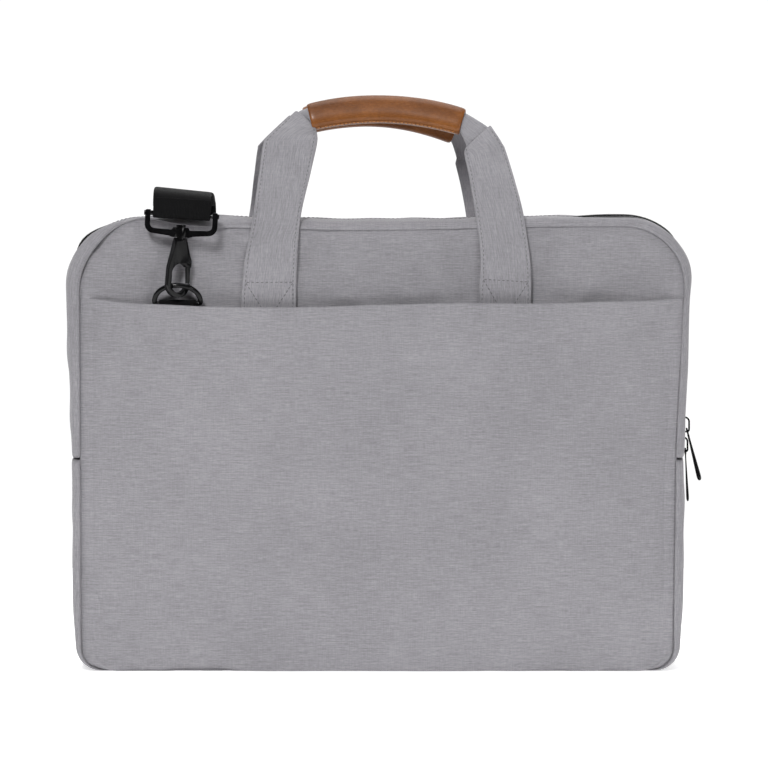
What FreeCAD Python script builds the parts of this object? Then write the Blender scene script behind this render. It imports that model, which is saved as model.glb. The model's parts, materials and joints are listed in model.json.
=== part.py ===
import FreeCAD, Part
import math
import os
import re

import Sketcher

# Laptop messenger bag, in millimetres. X is the bag's width, +Z is up and the face with the open
# slip pocket looks towards -Y. The origin is on the floor, under the middle of the bag.

DIMENSIONS = {
    # the bag
    "half_width": 204,
    "height": 302,
    "top_radius": 46,
    "bottom_radius": 16,
    "gusset_half_depth": 36,
    "gusset_wall": 4,
    "panel_thickness": 4,
    "panel_inset": 2,
    "split_height": 142,
    "split_gap": 0.3,
    "lining": 0.8,
    # slip pocket on the front face
    "pocket_height": 245,
    "pocket_depth": 8,
    "pocket_sheet": 1.5,
    "pocket_inset": 3,
    # zip over the top
    "zip_opening": 6,
    "tape_width": 16,
    "tape_thickness": 1,
    "coil_gap": 0.6,
    "coil_width": 3.2,
    "coil_height": 2.4,
    "slider_length": 12,
    "slider_width": 9.6,
    "slider_plate": 1.4,
    "upper_slider_height": 162,
    "lower_slider_height": 148.5,
    # handles
    "hinge_height": 260,
    "fold_height": 305,
    "hinge_out": 2.3,
    "anchor_width": 37,
    "anchor_thickness": 2,
    "front_anchor_length": 60,
    "rear_anchor_length": 38,
    "left_leg": -74.4,
    "right_leg": 82.3,
    "web_thickness": 2.4,
    "front_lean": 22,
    "rear_lean": 27,
    "rear_shift": -5,
    "core_height": 12.4,
    "core_thickness": 8,
    "sleeve_height": 16,
    "sleeve_thickness": 12,
    # ring, tab and snap hook
    "ring_radius": 15.4,
    "ring_wire": 1.3,
    "ring_rise": 12.3,
    "ring_lean": 29,
    "ring_bar_out": 4.5,
    "ring_bar_height": 245.1,
    "front_ring_across": -134.7,
    "rear_ring_across": 136,
    "tab_width": 24.5,
    "clasp_out": 10.5,
    "front_clasp_across": -131.7,
    "rear_clasp_across": 135.5,
    "front_clasp_height": 301.4,
    "rear_clasp_height": 188.6,
    "clasp_tilt": 3.5,
    "clasp_swivel": 40,
    "frame_half_width": 24,
    "frame_wire": 3.4,
    "frame_bar_height": 2.7,
    "hook_thickness": 3.6,
    # shoulder strap
    "webbing_width": 38,
    "strap_thickness": 3,
    # inside
    "divider_back": 17,
    "divider_thickness": 5,
    "divider_top": 250,
    "stiffener_thickness": 1.5,
    # rear pocket
    "rear_zip_height": 185,
    "rear_zip_half_length": 110,
}

doc = FreeCAD.newDocument("MessengerBag")
sheet = doc.addObject("Spreadsheet::Sheet", "Dimensions")
for row, (alias, number) in enumerate(DIMENSIONS.items(), start=1):
    sheet.set(f"A{row}", alias)
    sheet.set(f"B{row}", str(number))
    sheet.setAlias(f"B{row}", alias)
doc.recompute()

nodes = []


def cell(alias):
    """A driving dimension, read from the sheet."""
    return float(sheet.get(alias))


def bound(text):
    """An expression over sheet cells, such as 'height - panel_inset'."""
    return re.sub(r"[a-z_]+", lambda word: "Dimensions." + word.group(), text)


# ---------------------------------------------------------------- outlines


def rounded(points, radii, closed=True):
    """Straight runs through flat points, joined by tangent arcs; a radius of 0 keeps a corner."""
    count = len(points)
    ends = []
    for i, (here, radius) in enumerate(zip(points, radii)):
        if radius == 0 or (not closed and i in (0, count - 1)):
            ends.append((here, None, here))
            continue
        to_last = (points[i - 1] - here).normalize()
        to_next = (points[(i + 1) % count] - here).normalize()
        half = to_last.getAngle(to_next) / 2
        bisector = (to_last + to_next).normalize()
        centre = here + bisector * (radius / math.sin(half))
        reach = radius / math.tan(half)
        ends.append((here + to_last * reach, centre - bisector * radius, here + to_next * reach))
    edges = []
    for i, (start, middle, end) in enumerate(ends):
        if middle:
            edges.append(Part.Arc(start, middle, end))
        following = ends[(i + 1) % count][0]
        if (closed or i < count - 1) and (following - end).Length > 1e-6:
            edges.append(Part.LineSegment(end, following))
    return edges


def flat(pairs):
    """Points of a sketch, from pairs of coordinates."""
    return [FreeCAD.Vector(across, up, 0) for across, up in pairs]


def ribbon(points, radii, thickness):
    """Closed outline of a strip of even thickness along flat points with rounded corners."""
    sides = []
    for side in (1, -1):
        row = []
        for i, here in enumerate(points):
            normals = []
            for start, end in ((i - 1, i), (i, i + 1)):
                if 0 <= start and end < len(points):
                    run = (points[end] - points[start]).normalize()
                    normals.append(FreeCAD.Vector(-run.y, run.x, 0))
            mean = (normals[0] + normals[-1]).normalize()
            stretch = thickness / 2 / mean.dot(normals[0])
            turn = normals[0].cross(normals[-1]).z
            radius = radii[i] - side * math.copysign(thickness / 2, turn) if radii[i] else 0
            row.append((here + mean * side * stretch, radius))
        sides.append(row)
    outline = sides[0] + sides[1][::-1]
    return rounded([point for point, _ in outline], [radius for _, radius in outline])


# ---------------------------------------------------------------- PartDesign helpers


def new_body(label):
    body = doc.addObject("PartDesign::Body", label)
    body.Label = label
    nodes.append(body)
    return body


def sketch_on(body, role="XZ_Plane", offset="0"):
    """An empty sketch on one of the body's own planes; on XZ_Plane an offset points to -Y."""
    sketch = body.newObject("Sketcher::SketchObject", body.Label + "_sketch")
    plane = next(f for f in body.Origin.OriginFeatures if f.Role == role)
    sketch.AttachmentSupport = (plane, [""])
    sketch.MapMode = "FlatFace"
    if offset != "0":
        sketch.setExpression("AttachmentOffset.Base.z", bound(offset))
    return sketch


def place_sides(sketch, lines, left, right, bottom, top):
    """Constrain four lines of a sketch to sheet expressions, measured from the origin."""
    low, across, high, back = lines
    sides = (
        ("DistanceX", back, left, -60),
        ("DistanceY", low, bottom, 10),
        ("DistanceX", across, right, 60),
        ("DistanceY", high, top, 90),
    )
    for kind, line, expression, start in sides:
        index = sketch.addConstraint(Sketcher.Constraint(kind, -1, 1, line, 1, start))
        sketch.setExpression(f"Constraints[{index}]", bound(expression))


def rectangle(sketch, left, right, bottom, top):
    """A rectangle whose four sides sit at sheet expressions."""
    corners = flat([(-60, 10), (60, 10), (60, 90), (-60, 90)])
    for i in range(4):
        sketch.addGeometry(Part.LineSegment(corners[i], corners[(i + 1) % 4]), False)
    for i in range(4):
        sketch.addConstraint(Sketcher.Constraint("Coincident", i, 2, (i + 1) % 4, 1))
        sketch.addConstraint(Sketcher.Constraint("Vertical" if i % 2 else "Horizontal", i))
    place_sides(sketch, range(4), left, right, bottom, top)


def round_rectangle(sketch, left, right, bottom, top, low_radius, high_radius):
    """A rectangle with tangent arcs at its corners; the sides and radii are sheet expressions."""
    across, low, high, radius = 60, 10, 90, 10
    points = flat([(across - radius, low), (across, low + radius), (across, high - radius),
                   (across - radius, high), (radius - across, high), (-across, high - radius),
                   (-across, low + radius), (radius - across, low)])
    centres = flat([(across - radius, low + radius), (across - radius, high - radius),
                    (radius - across, high - radius), (radius - across, low + radius)])
    for i in range(4):
        start, end = points[2 * i - 1], points[2 * i]
        sketch.addGeometry(Part.LineSegment(start, end), False)
        circle = Part.Circle(centres[i], FreeCAD.Vector(0, 0, 1), radius)
        first = math.pi / 2 * (i - 1)
        sketch.addGeometry(Part.ArcOfCircle(circle, first, first + math.pi / 2), False)
    for i in range(8):
        sketch.addConstraint(Sketcher.Constraint("Tangent", i, 2, (i + 1) % 8, 1))
    for i in range(4):
        sketch.addConstraint(Sketcher.Constraint("Vertical" if i % 2 else "Horizontal", 2 * i))
        index = sketch.addConstraint(Sketcher.Constraint("Radius", 2 * i + 1, radius))
        size = high_radius if i in (1, 2) else low_radius
        sketch.setExpression(f"Constraints[{index}]", bound(size))
    place_sides(sketch, (0, 2, 4, 6), left, right, bottom, top)


def bag_outline(sketch, offset):
    """The bag's outline seen from the front, drawn in by an offset from the outside."""
    round_rectangle(
        sketch, f"{offset} - half_width", f"half_width - ({offset})", offset, f"height - ({offset})",
        f"bottom_radius - ({offset})", f"top_radius - ({offset})",
    )


def draw(sketch, edges):
    sketch.addGeometry(edges, False)
    return sketch


def pad(body, sketch, length, both_ways=False):
    feature = body.newObject("PartDesign::Pad", body.Label + "_pad")
    feature.Profile = sketch
    feature.SideType = "Symmetric" if both_ways else "One side"
    feature.setExpression("Length", bound(length))
    doc.recompute()
    return feature


def pocket(body, sketch, length=None):
    """Cut a sketch out: through everything both ways, or by a length towards +Y."""
    before = body.Shape.Volume
    feature = body.newObject("PartDesign::Pocket", body.Label + "_pocket")
    feature.Profile = sketch
    feature.SideType = "One side" if length else "Symmetric"
    feature.setExpression("Length", bound(length or "4 * half_width"))
    doc.recompute()
    assert body.Shape.Volume < before - 0.1, f"{feature.Label} cuts nothing"
    return feature


def fillet(body, names, radius):
    last = body.Tip
    feature = body.newObject("PartDesign::Fillet", body.Label + "_fillet")
    feature.Base = (last, names)
    feature.setExpression("Radius", bound(radius))
    doc.recompute()
    return feature


def square_edges(shape, along, keep=lambda centre: True):
    """Names of straight edges along a direction where two flat faces meet squarely."""
    names = []
    for number, edge in enumerate(shape.Edges, start=1):
        if edge.Curve.TypeId != "Part::GeomLine" or abs(edge.Curve.Direction.dot(along)) < 0.999:
            continue
        faces = shape.ancestorsOfType(edge, Part.Face)
        if any(face.Surface.TypeId != "Part::GeomPlane" for face in faces):
            continue
        if abs(faces[0].normalAt(0, 0).dot(faces[1].normalAt(0, 0))) > 0.01:
            continue
        if keep(edge.CenterOfMass):
            names.append(f"Edge{number}")
    return names


DEPTH = FreeCAD.Vector(0, 1, 0)


def trim(body, bottom=None, top=None):
    """Cut off what is below a height or above another."""
    for edge, span in ((bottom, ("-height", bottom)), (top, (top, "2 * height"))):
        if edge:
            sketch = sketch_on(body)
            rectangle(sketch, "-2 * half_width", "2 * half_width", *span)
            pocket(body, sketch)


# The bag's outline is in two parts that meet at the height where the zip ends.
ABOVE_SPLIT = {"bottom": "split_height + split_gap / 2"}
BELOW_SPLIT = {"top": "split_height - split_gap / 2"}
PARTS = {"whole": {}, "upper": ABOVE_SPLIT, "lower": BELOW_SPLIT}


def outline_plate(label, offset, front, thickness, part="whole"):
    """A plate with the bag's outline; front is the -Y coordinate of its foremost face."""
    body = new_body(label)
    sketch = sketch_on(body, offset=f"{front} - {thickness}")
    bag_outline(sketch, offset)
    pad(body, sketch, thickness)
    trim(body, **PARTS[part])


def outline_band(label, outer, inner, front, width, part):
    """A strip that runs round the bag's outline between two offsets from the outside."""
    body = new_body(label)
    sketch = sketch_on(body, offset=f"{front} - ({width})")
    bag_outline(sketch, outer)
    pad(body, sketch, width)
    sketch = sketch_on(body)
    bag_outline(sketch, inner)
    pocket(body, sketch)
    trim(body, **PARTS[part])


def block(label, left, right, bottom, top, front, thickness):
    """A rectangular plate; front is the -Y coordinate of its foremost face."""
    body = new_body(label)
    sketch = sketch_on(body, offset=f"{front} - ({thickness})")
    rectangle(sketch, left, right, bottom, top)
    pad(body, sketch, thickness)
    return body


def plain_part(label, shape, placement=FreeCAD.Placement()):
    """A sub-part made with Part's own functions."""
    made = doc.addObject("Part::Feature", label)
    made.Label = label
    made.Shape = shape
    made.Placement = placement
    nodes.append(made)
    return made


def turned(axis, degrees):
    return FreeCAD.Rotation(FreeCAD.Vector(*axis), degrees)


# ---------------------------------------------------------------- bag shell

FACE = "gusset_half_depth + panel_thickness"
TAPE_OUT = "gusset_wall"
TAPE_IN = "gusset_wall + tape_thickness"
COIL_OUT = "gusset_wall - coil_height"


def bag_shell():
    outline_plate("rear_panel", "panel_inset", "-gusset_half_depth", "panel_thickness")
    outline_plate("upper_front_panel", "panel_inset", FACE, "panel_thickness", "upper")
    outline_plate("lower_front_panel", "panel_inset", FACE, "panel_thickness", "lower")
    full = "2 * gusset_half_depth"
    side = "gusset_half_depth - zip_opening"
    outline_band("lower_gusset", "0", "gusset_wall", "gusset_half_depth", full, "lower")
    outline_band("front_zip_gusset", "0", "gusset_wall", "gusset_half_depth", side, "upper")
    outline_band("rear_zip_gusset", "0", "gusset_wall", "-zip_opening", side, "upper")
    tape = "tape_width - coil_gap"
    outline_band("front_zip_tape", TAPE_OUT, TAPE_IN, "tape_width", tape, "upper")
    outline_band("rear_zip_tape", TAPE_OUT, TAPE_IN, "-coil_gap", tape, "upper")
    outline_band("front_zip_coil", COIL_OUT, TAPE_OUT, "coil_gap + coil_width", "coil_width", "upper")
    outline_band("rear_zip_coil", COIL_OUT, TAPE_OUT, "-coil_gap", "coil_width", "upper")


def bag_inside():
    inner = "gusset_wall + lining"
    full = "2 * gusset_half_depth"
    outline_band("gusset_lining", "gusset_wall", inner, "gusset_half_depth", full, "lower")
    sheet_offset = "gusset_wall + 2 * lining"
    outline_plate("rear_lining", sheet_offset, "lining - gusset_half_depth", "lining")
    outline_plate("upper_front_lining", sheet_offset, "gusset_half_depth", "lining", "upper")
    outline_plate("lower_front_lining", sheet_offset, "gusset_half_depth", "lining", "lower")
    floor = "gusset_wall + lining"
    block(
        "bottom_stiffener", "30 - half_width", "half_width - 30", floor,
        f"{floor} + stiffener_thickness", "gusset_half_depth - 3", "2 * gusset_half_depth - 6",
    )
    block(
        "laptop_divider", "14 - half_width", "half_width - 14", f"{floor} + stiffener_thickness",
        "divider_top", "divider_thickness - divider_back", "divider_thickness",
    )


def slip_pocket(label, part):
    """A shallow tray in front of the front panel, open at the top: sheet, two sides and bottom."""
    body = new_body(label)
    walls = (("pocket_inset", FACE), ("pocket_inset + pocket_sheet", f"{FACE} + pocket_depth"))
    for inset, front in walls:
        sketch = sketch_on(body, offset=front)
        round_rectangle(
            sketch, f"{inset} - half_width", f"half_width - ({inset})", inset, "height",
            f"bottom_radius - ({inset})", "pocket_inset",
        )
        if inset == "pocket_inset":
            pad(body, sketch, "pocket_depth + pocket_sheet")
        else:
            pocket(body, sketch, "pocket_depth")
    trim(body, **PARTS[part])
    if part == "upper":
        trim(body, top="pocket_height")


# ---------------------------------------------------------------- laptop retaining strap


def retaining_strap():
    """A short webbing strap from the rear wall over the divider, closed with two patches."""
    width = cell("webbing_width")
    rear = cell("gusset_half_depth") - cell("lining")
    front = cell("divider_back") - cell("divider_thickness")
    out, thick, top, low = front - 2.6, 1.2, cell("divider_top") + 12, cell("divider_top") - 38
    path = flat([(rear - 1.5, top), (out, top), (out, low)])
    outline = Part.Face(Part.Wire([edge.toShape() for edge in ribbon(path, [0, 6, 0], thick)]))
    strap = outline.extrude(FreeCAD.Vector(0, 0, width))
    place = FreeCAD.Placement(FreeCAD.Vector(-width / 2, 0, 0), turned((1, 1, 1), 120))
    plain_part("retaining_strap", strap, place)
    patch_low, patch_top = "divider_top - 36", "divider_top - 8"
    sides = ("2 - webbing_width / 2", "webbing_width / 2 - 2")
    block("loop_patch", *sides, patch_low, patch_top, "divider_thickness - divider_back + 0.9", "0.9")
    block("hook_patch", *sides, patch_low, patch_top, "divider_thickness - divider_back + 2", "0.9")


# ---------------------------------------------------------------- zip sliders


def zip_slider(label, height_cell):
    """Slider on the zip's right-hand side, seen along the zip: two plates that hold the coils between
    them, a wedge that parts the coils, a flange on the rear side only and a bridge for the pull."""
    skin = cell("half_width") - cell("gusset_wall")
    coil_top = skin + cell("coil_height") + 0.3
    plate_top = coil_top + cell("slider_plate")
    half, half_wide = cell("slider_length") / 2, cell("slider_width") / 2
    inner = skin - cell("tape_thickness") - 0.3
    up = cell(height_cell)

    body = new_body(label)
    outer = flat([(-half_wide, up - half), (half_wide, up - half), (half_wide, up + half),
                  (-half_wide, up + half)])
    plates = ((coil_top, plate_top), (inner - 1.3, inner))
    for low, high in plates:
        sketch = sketch_on(body, "YZ_Plane", str(low))
        pad(body, draw(sketch, rounded(outer, [2.2] * 4)), str(high - low))
    wedge = flat([(-0.3, up + 1), (0.3, up + 1), (0.3, up + half - 1), (-0.3, up + half - 1)])
    sketch = sketch_on(body, "YZ_Plane", str(inner))
    pad(body, draw(sketch, rounded(wedge, [0] * 4)), str(coil_top - inner))
    flange_in, flange_out = half_wide - 0.6, half_wide
    flange = flat([(flange_in, up - 3.4), (flange_out, up - 3.4), (flange_out, up + 3.4),
                   (flange_in, up + 3.4)])
    sketch = sketch_on(body, "YZ_Plane", str(skin + 0.2))
    pad(body, draw(sketch, rounded(flange, [0] * 4)), str(coil_top - skin - 0.2))

    wire, rise = 1.2, 3.8
    arch = flat([(plate_top - 0.4, up + 5), (plate_top + rise - wire / 2, up + 5),
                 (plate_top + rise - wire / 2, up - 4.6), (plate_top - 0.4, up - 4.6)])
    sketch = sketch_on(body, "XZ_Plane", "-0.9")
    pad(body, draw(sketch, ribbon(arch, [0, 2.9, 1.5, 0], wire)), "1.8")
    return FreeCAD.Vector(plate_top + rise - wire / 2 - 1.5, 0, up - 4.6 + 1.5)


def zip_pull(label, pivot, splay, blade_length=31):
    """Pull that hangs from a slider's bridge by an eye; the pivot is the middle of the eye's bar."""
    blade = flat([(-2, 1.1), (2, 1.1), (1.8, -6), (2.6, -blade_length), (-2.6, -blade_length), (-1.8, -6)])
    body = new_body(label)
    sketch = sketch_on(body, "YZ_Plane", "-0.55")
    pad(body, draw(sketch, rounded(blade, [0.9, 0.9, 6, 2.5, 2.5, 6])), "1.1")
    eye = flat([(-1.25, -0.55), (1.25, -0.55), (1.25, -4.2), (-1.25, -4.2)])
    sketch = sketch_on(body, "YZ_Plane")
    pocket(body, draw(sketch, rounded(eye, [0.4] * 4)))
    hole = Part.Circle(FreeCAD.Vector(0, 3.2 - blade_length, 0), FreeCAD.Vector(0, 0, 1), 1.0)
    sketch = sketch_on(body, "YZ_Plane")
    pocket(body, draw(sketch, [hole]))
    body.Placement = FreeCAD.Placement(pivot, turned((0, -1, 0), splay))
    return body


# ---------------------------------------------------------------- handles


def handle(end, shift, lean, facing, grip):
    """One carry handle: two flat legs, folded round to a thick core inside a leather sleeve.

    The legs stand up the bag's face to a fold line, and lean in over its top from there.
    """
    fold = cell("fold_height")
    stretch = 1 / math.cos(math.radians(lean))
    left, middle, right = [FreeCAD.Vector(x + shift, (z - fold) * stretch, 0) for x, z in grip]
    centre = Part.Circle(left, middle, right).Center
    start, finish = [
        FreeCAD.Vector(point.y - centre.y, centre.x - point.x, 0).normalize() for point in (left, right)
    ]

    def grip_band(height, beyond):
        """The outline of a strip of this height along the grip's arc."""
        rows = []
        for side in (height / 2, -height / 2):
            ends = []
            for point, along in ((left, -start), (right, finish)):
                out = (point - centre).normalize()
                ends.append(point + out * side + along * beyond)
            top = middle + (middle - centre).normalize() * side
            rows.append((ends[0], top, ends[1]))
        (a, b, c), (d, e, f) = rows
        return [Part.Arc(a, b, c), Part.LineSegment(c, f), Part.Arc(f, e, d), Part.LineSegment(d, a)]

    name = f"handle_web_{end}"
    web = new_body(name)
    sketch = sketch_on(web)
    draw(sketch, grip_band(cell("core_height"), 0))
    pad(web, sketch, "core_thickness", True)
    half = cell("anchor_width") / 2
    low = cell("hinge_height") + 1.6 - fold
    for leg, tip, side in ((cell("left_leg"), left, 1), (cell("right_leg"), right, -1)):
        leg += shift
        out = (tip - centre).normalize() * (cell("core_height") / 2)
        along = (start if side == 1 else -finish) * 3
        outer, inner = leg - side * (half - 8), leg + side * (half + 3)
        leaning = [
            FreeCAD.Vector(outer, 0, 0),
            FreeCAD.Vector(tip.x - side * 31, tip.y - 17, 0),
            FreeCAD.Vector(tip.x - side * 9, tip.y + 5, 0),
            tip + out + along,
            tip - out + along,
            FreeCAD.Vector(tip.x + side * 4, tip.y - 14, 0),
            FreeCAD.Vector(inner, 0, 0),
        ]
        sketch = sketch_on(web)
        draw(sketch, rounded(leaning, [0, 10, 8, 0, 0, 3, 0]))
        pad(web, sketch, "web_thickness", True)
        standing = flat([(outer, 0), (inner, 0), (leg + side * half, low), (leg - side * half, low)])
        sketch = sketch_on(web)
        sketch.AttachmentOffset = FreeCAD.Placement(FreeCAD.Vector(), turned((facing, 0, 0), lean))
        draw(sketch, rounded(standing, [0] * 4))
        pad(web, sketch, "web_thickness", True)

    sleeve = new_body(f"grip_sleeve_{end}")
    sketch = sketch_on(sleeve)
    pad(sleeve, draw(sketch, grip_band(cell("sleeve_height"), -0.5)), "sleeve_thickness", True)
    long_edges = [
        f"Edge{number}"
        for number, edge in enumerate(sleeve.Shape.Edges, start=1)
        if edge.Length > 60
    ]
    fillet(sleeve, long_edges, "sleeve_thickness / 3")
    sketch = sketch_on(sleeve)
    draw(sketch, grip_band(cell("core_height") + 0.4, 4))
    hollow = sleeve.newObject("PartDesign::Pocket", sleeve.Label + "_hollow")
    hollow.Profile = sketch
    hollow.SideType = "Symmetric"
    hollow.setExpression("Length", bound("core_thickness + 0.4"))
    doc.recompute()

    out = -facing * (cell("gusset_half_depth") + cell("panel_thickness") + cell("hinge_out"))
    place = FreeCAD.Placement(FreeCAD.Vector(0, out, fold), turned((-facing, 0, 0), lean))
    web.Placement = place
    sleeve.Placement = place


def handle_anchor(label, leg, shift, length, facing):
    """The end of a handle's webbing, sewn flat to a face of the bag."""
    front = FACE + " + anchor_thickness" if facing == 1 else f"-({FACE})"
    body = block(
        label, f"{leg} + {shift} - anchor_width / 2", f"{leg} + {shift} + anchor_width / 2",
        f"hinge_height - {length}", "hinge_height", front, "anchor_thickness",
    )
    low = lambda centre: centre.z < cell("hinge_height") - 20
    fillet(body, square_edges(body.Shape, DEPTH, low), "1.5")


# ---------------------------------------------------------------- ring, tab and snap hook


def ring_tab(label, across, facing):
    """Webbing tab sewn to a face; its fold holds the D-ring's straight bar.

    The front tab is sewn below the bar, out of sight in the slip pocket, and the rear one above it.
    """
    bar, reach, sewn = cell("ring_bar_out"), 3, 40
    body = new_body(label)
    sketch = sketch_on(body, "YZ_Plane", str(-cell("tab_width") / 2))
    shape = [
        Part.LineSegment(*flat([(0, -sewn), (0, -8)])),
        Part.LineSegment(*flat([(0, -8), (reach - bar, -4)])),
        Part.LineSegment(*flat([(reach - bar, -4), (reach - bar, 0)])),
        Part.Arc(*flat([(reach - bar, 0), (-bar, reach), (-reach - bar, 0)])),
        Part.LineSegment(*flat([(-reach - bar, 0), (-reach - bar, -2.5)])),
        Part.LineSegment(*flat([(-reach - bar, -2.5), (-3, -8.5)])),
        Part.LineSegment(*flat([(-3, -8.5), (-3, -sewn)])),
        Part.LineSegment(*flat([(-3, -sewn), (0, -sewn)])),
        Part.Circle(FreeCAD.Vector(-bar, 0, 0), FreeCAD.Vector(0, 0, 1), cell("ring_wire") + 0.3),
    ]
    pad(body, draw(sketch, shape), "tab_width")
    out = -facing * (cell("gusset_half_depth") + cell("panel_thickness"))
    place = FreeCAD.Vector(across, out, cell("ring_bar_height"))
    body.Placement = FreeCAD.Placement(place, turned((1, 0, 0), 0 if facing == 1 else 180))


def d_path(radius, rise, corner):
    """Middle line of a D: a straight bar on X, a large arc of this rise, two tangent corner arcs."""
    centre = FreeCAD.Vector(0, 0, rise - radius)
    across = math.sqrt((radius - corner) ** 2 - (corner - centre.z) ** 2)
    arcs = []
    for side in (1, -1):
        middle = FreeCAD.Vector(side * across, 0, corner)
        outward = (middle - centre).normalize()
        bar_end = FreeCAD.Vector(side * across, 0, 0)
        between = (outward + FreeCAD.Vector(0, 0, -1)).normalize()
        arcs.append((bar_end, middle + between * corner, centre + outward * radius))
    (start, bend, meet), (last, other_bend, other_meet) = arcs
    top = centre + FreeCAD.Vector(0, 0, radius)
    edges = [
        Part.LineSegment(last, start),
        Part.Arc(start, bend, meet),
        Part.Arc(meet, top, other_meet),
        Part.Arc(other_meet, other_bend, last),
    ]
    return Part.Wire([edge.toShape() for edge in edges])


def d_ring(label, across, facing):
    """D-ring of round wire with its bar along X; the front one stands and the rear one hangs."""
    spine = d_path(cell("ring_radius"), cell("ring_rise"), 1.8)
    section = Part.Circle(FreeCAD.Vector(), FreeCAD.Vector(1, 0, 0), cell("ring_wire")).toShape()
    ring = spine.makePipeShell([Part.Wire(section)], True, False, 0)
    out = facing * (cell("gusset_half_depth") + cell("panel_thickness") + cell("ring_bar_out"))
    lean = cell("ring_lean") if facing == 1 else 180 + cell("ring_lean")
    bar = FreeCAD.Vector(across, -out, cell("ring_bar_height"))
    plain_part(label, ring, FreeCAD.Placement(bar, turned((1, 0, 0), lean)))


def clasp_reach():
    """Distance of the clasps' bars from the middle plane."""
    return cell("gusset_half_depth") + cell("panel_thickness") + cell("clasp_out")


def snap_hook(end, place):
    """Swivel snap hook: frame for the webbing, hook on a post, sprung gate and its rivet.

    Its own frame: X across, Z from the hook's eye up to the webbing bar.
    """
    swivel = place.multiply(FreeCAD.Placement(FreeCAD.Vector(), turned((0, 0, 1), cell("clasp_swivel"))))
    wire, half, bar = cell("frame_wire"), cell("frame_half_width"), cell("frame_bar_height")
    inside = half - wire

    frame = new_body(f"clasp_frame_{end}")
    outer = flat([(-half, bar + 2.3), (-half, -10), (-8, -11.6), (-5.5, -12.4), (5.5, -12.4), (8, -11.6),
                  (half, -10), (half, bar + 2.3)])
    sketch = sketch_on(frame)
    draw(sketch, rounded(outer, [1.2, 6, 3, 1.5, 1.5, 3, 6, 1.2]))
    pad(frame, sketch, "frame_wire", True)
    slot = flat([(-inside, 2 * bar + 20), (-inside, -7), (-6, -7.6), (-5, -5.8), (5, -5.8), (6, -7.6),
                 (inside, -7), (inside, 2 * bar + 20)])
    sketch = sketch_on(frame)
    pocket(frame, draw(sketch, rounded(slot, [0, 3, 1, 0.8, 0.8, 1, 3, 0])))
    rod = Part.Circle(FreeCAD.Vector(0, bar, 0), FreeCAD.Vector(0, 0, 1), 1.6)
    sketch = sketch_on(frame, "YZ_Plane")
    pad(frame, draw(sketch, [rod]), "2 * frame_half_width + 1.6", True)
    hub = Part.Circle(FreeCAD.Vector(0, 0, 0), FreeCAD.Vector(0, 0, 1), 4.4)
    sketch = sketch_on(frame, "XY_Plane", "-12.4")
    pad(frame, draw(sketch, [hub]), "6.6")
    bore = Part.Circle(FreeCAD.Vector(0, 0, 0), FreeCAD.Vector(0, 0, 1), 2.3)
    sketch = sketch_on(frame, "XY_Plane")
    pocket(frame, draw(sketch, [bore]))
    frame.Placement = place

    hook = new_body(f"snap_hook_{end}")
    eye, limb, low = 6.5, 2.9, -44
    outside = eye + limb
    nose = low + 0.9
    profile = [
        Part.LineSegment(*flat([(4.1, -12.8), (7.6, -24)])),
        Part.LineSegment(*flat([(7.6, -24), (9.2, -27.5)])),
        Part.LineSegment(*flat([(9.2, -27.5), (9.2, -32)])),
        Part.LineSegment(*flat([(9.2, -32), (5.4, -32)])),
        Part.Arc(*flat([(5.4, -32), (0, -29.7), (-eye, -36.6)])),
        Part.LineSegment(*flat([(-eye, -36.6), (-eye, low)])),
        Part.Arc(*flat([(-eye, low), (0, low - 5.0), (eye, nose)])),
        Part.LineSegment(*flat([(eye, nose), (outside - 0.4, nose)])),
        Part.Arc(*flat([(outside - 0.4, nose), (0, low - 8.2), (-outside, low)])),
        Part.LineSegment(*flat([(-outside, low), (-outside + 0.5, -32)])),
        Part.LineSegment(*flat([(-outside + 0.5, -32), (-4.1, -12.8)])),
        Part.LineSegment(*flat([(-4.1, -12.8), (4.1, -12.8)])),
    ]
    sketch = sketch_on(hook)
    pad(hook, draw(sketch, profile), "hook_thickness", True)
    post = Part.Circle(FreeCAD.Vector(0, 0, 0), FreeCAD.Vector(0, 0, 1), 2.2)
    sketch = sketch_on(hook, "XY_Plane", "-13.2")
    pad(hook, draw(sketch, [post]), "8")
    head = Part.Circle(FreeCAD.Vector(0, 0, 0), FreeCAD.Vector(0, 0, 1), 3.1)
    sketch = sketch_on(hook, "XY_Plane", "-5.6")
    pad(hook, draw(sketch, [head]), "1.5")
    collar = Part.Circle(FreeCAD.Vector(0, 0, 0), FreeCAD.Vector(0, 0, 1), 4.1)
    sketch = sketch_on(hook, "XY_Plane", "-15")
    pad(hook, draw(sketch, [collar]), "2.3")
    seat = flat([(4.7, -33), (4.7, -25.8), (10, -25.8), (10, -33)])
    sketch = sketch_on(hook)
    slot_cut = hook.newObject("PartDesign::Pocket", hook.Label + "_gate_slot")
    slot_cut.Profile = draw(sketch, rounded(seat, [0] * 4))
    slot_cut.SideType = "Symmetric"
    slot_cut.Length = 2.0
    doc.recompute()
    pivot = FreeCAD.Vector(7.4, -29, 0)
    sketch = sketch_on(hook)
    pocket(hook, draw(sketch, [Part.Circle(pivot, FreeCAD.Vector(0, 0, 1), 0.85)]))
    hook.Placement = swivel

    gate = new_body(f"gate_{end}")
    lever = flat([(6.3, -27.2), (8.6, -27.2), (9.9, -29.4), (9.9, -31), (9.1, -32.6),
                  (9.1, nose + 0.3), (6.8, nose + 0.3), (6.1, -33.4)])
    sketch = sketch_on(gate)
    pad(gate, draw(sketch, rounded(lever, [0.5, 0.8, 0.6, 0.5, 1, 0.4, 0.4, 1])), "1.6", True)
    sketch = sketch_on(gate)
    pocket(gate, draw(sketch, [Part.Circle(pivot, FreeCAD.Vector(0, 0, 1), 0.85)]))
    gate.Placement = swivel

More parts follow.
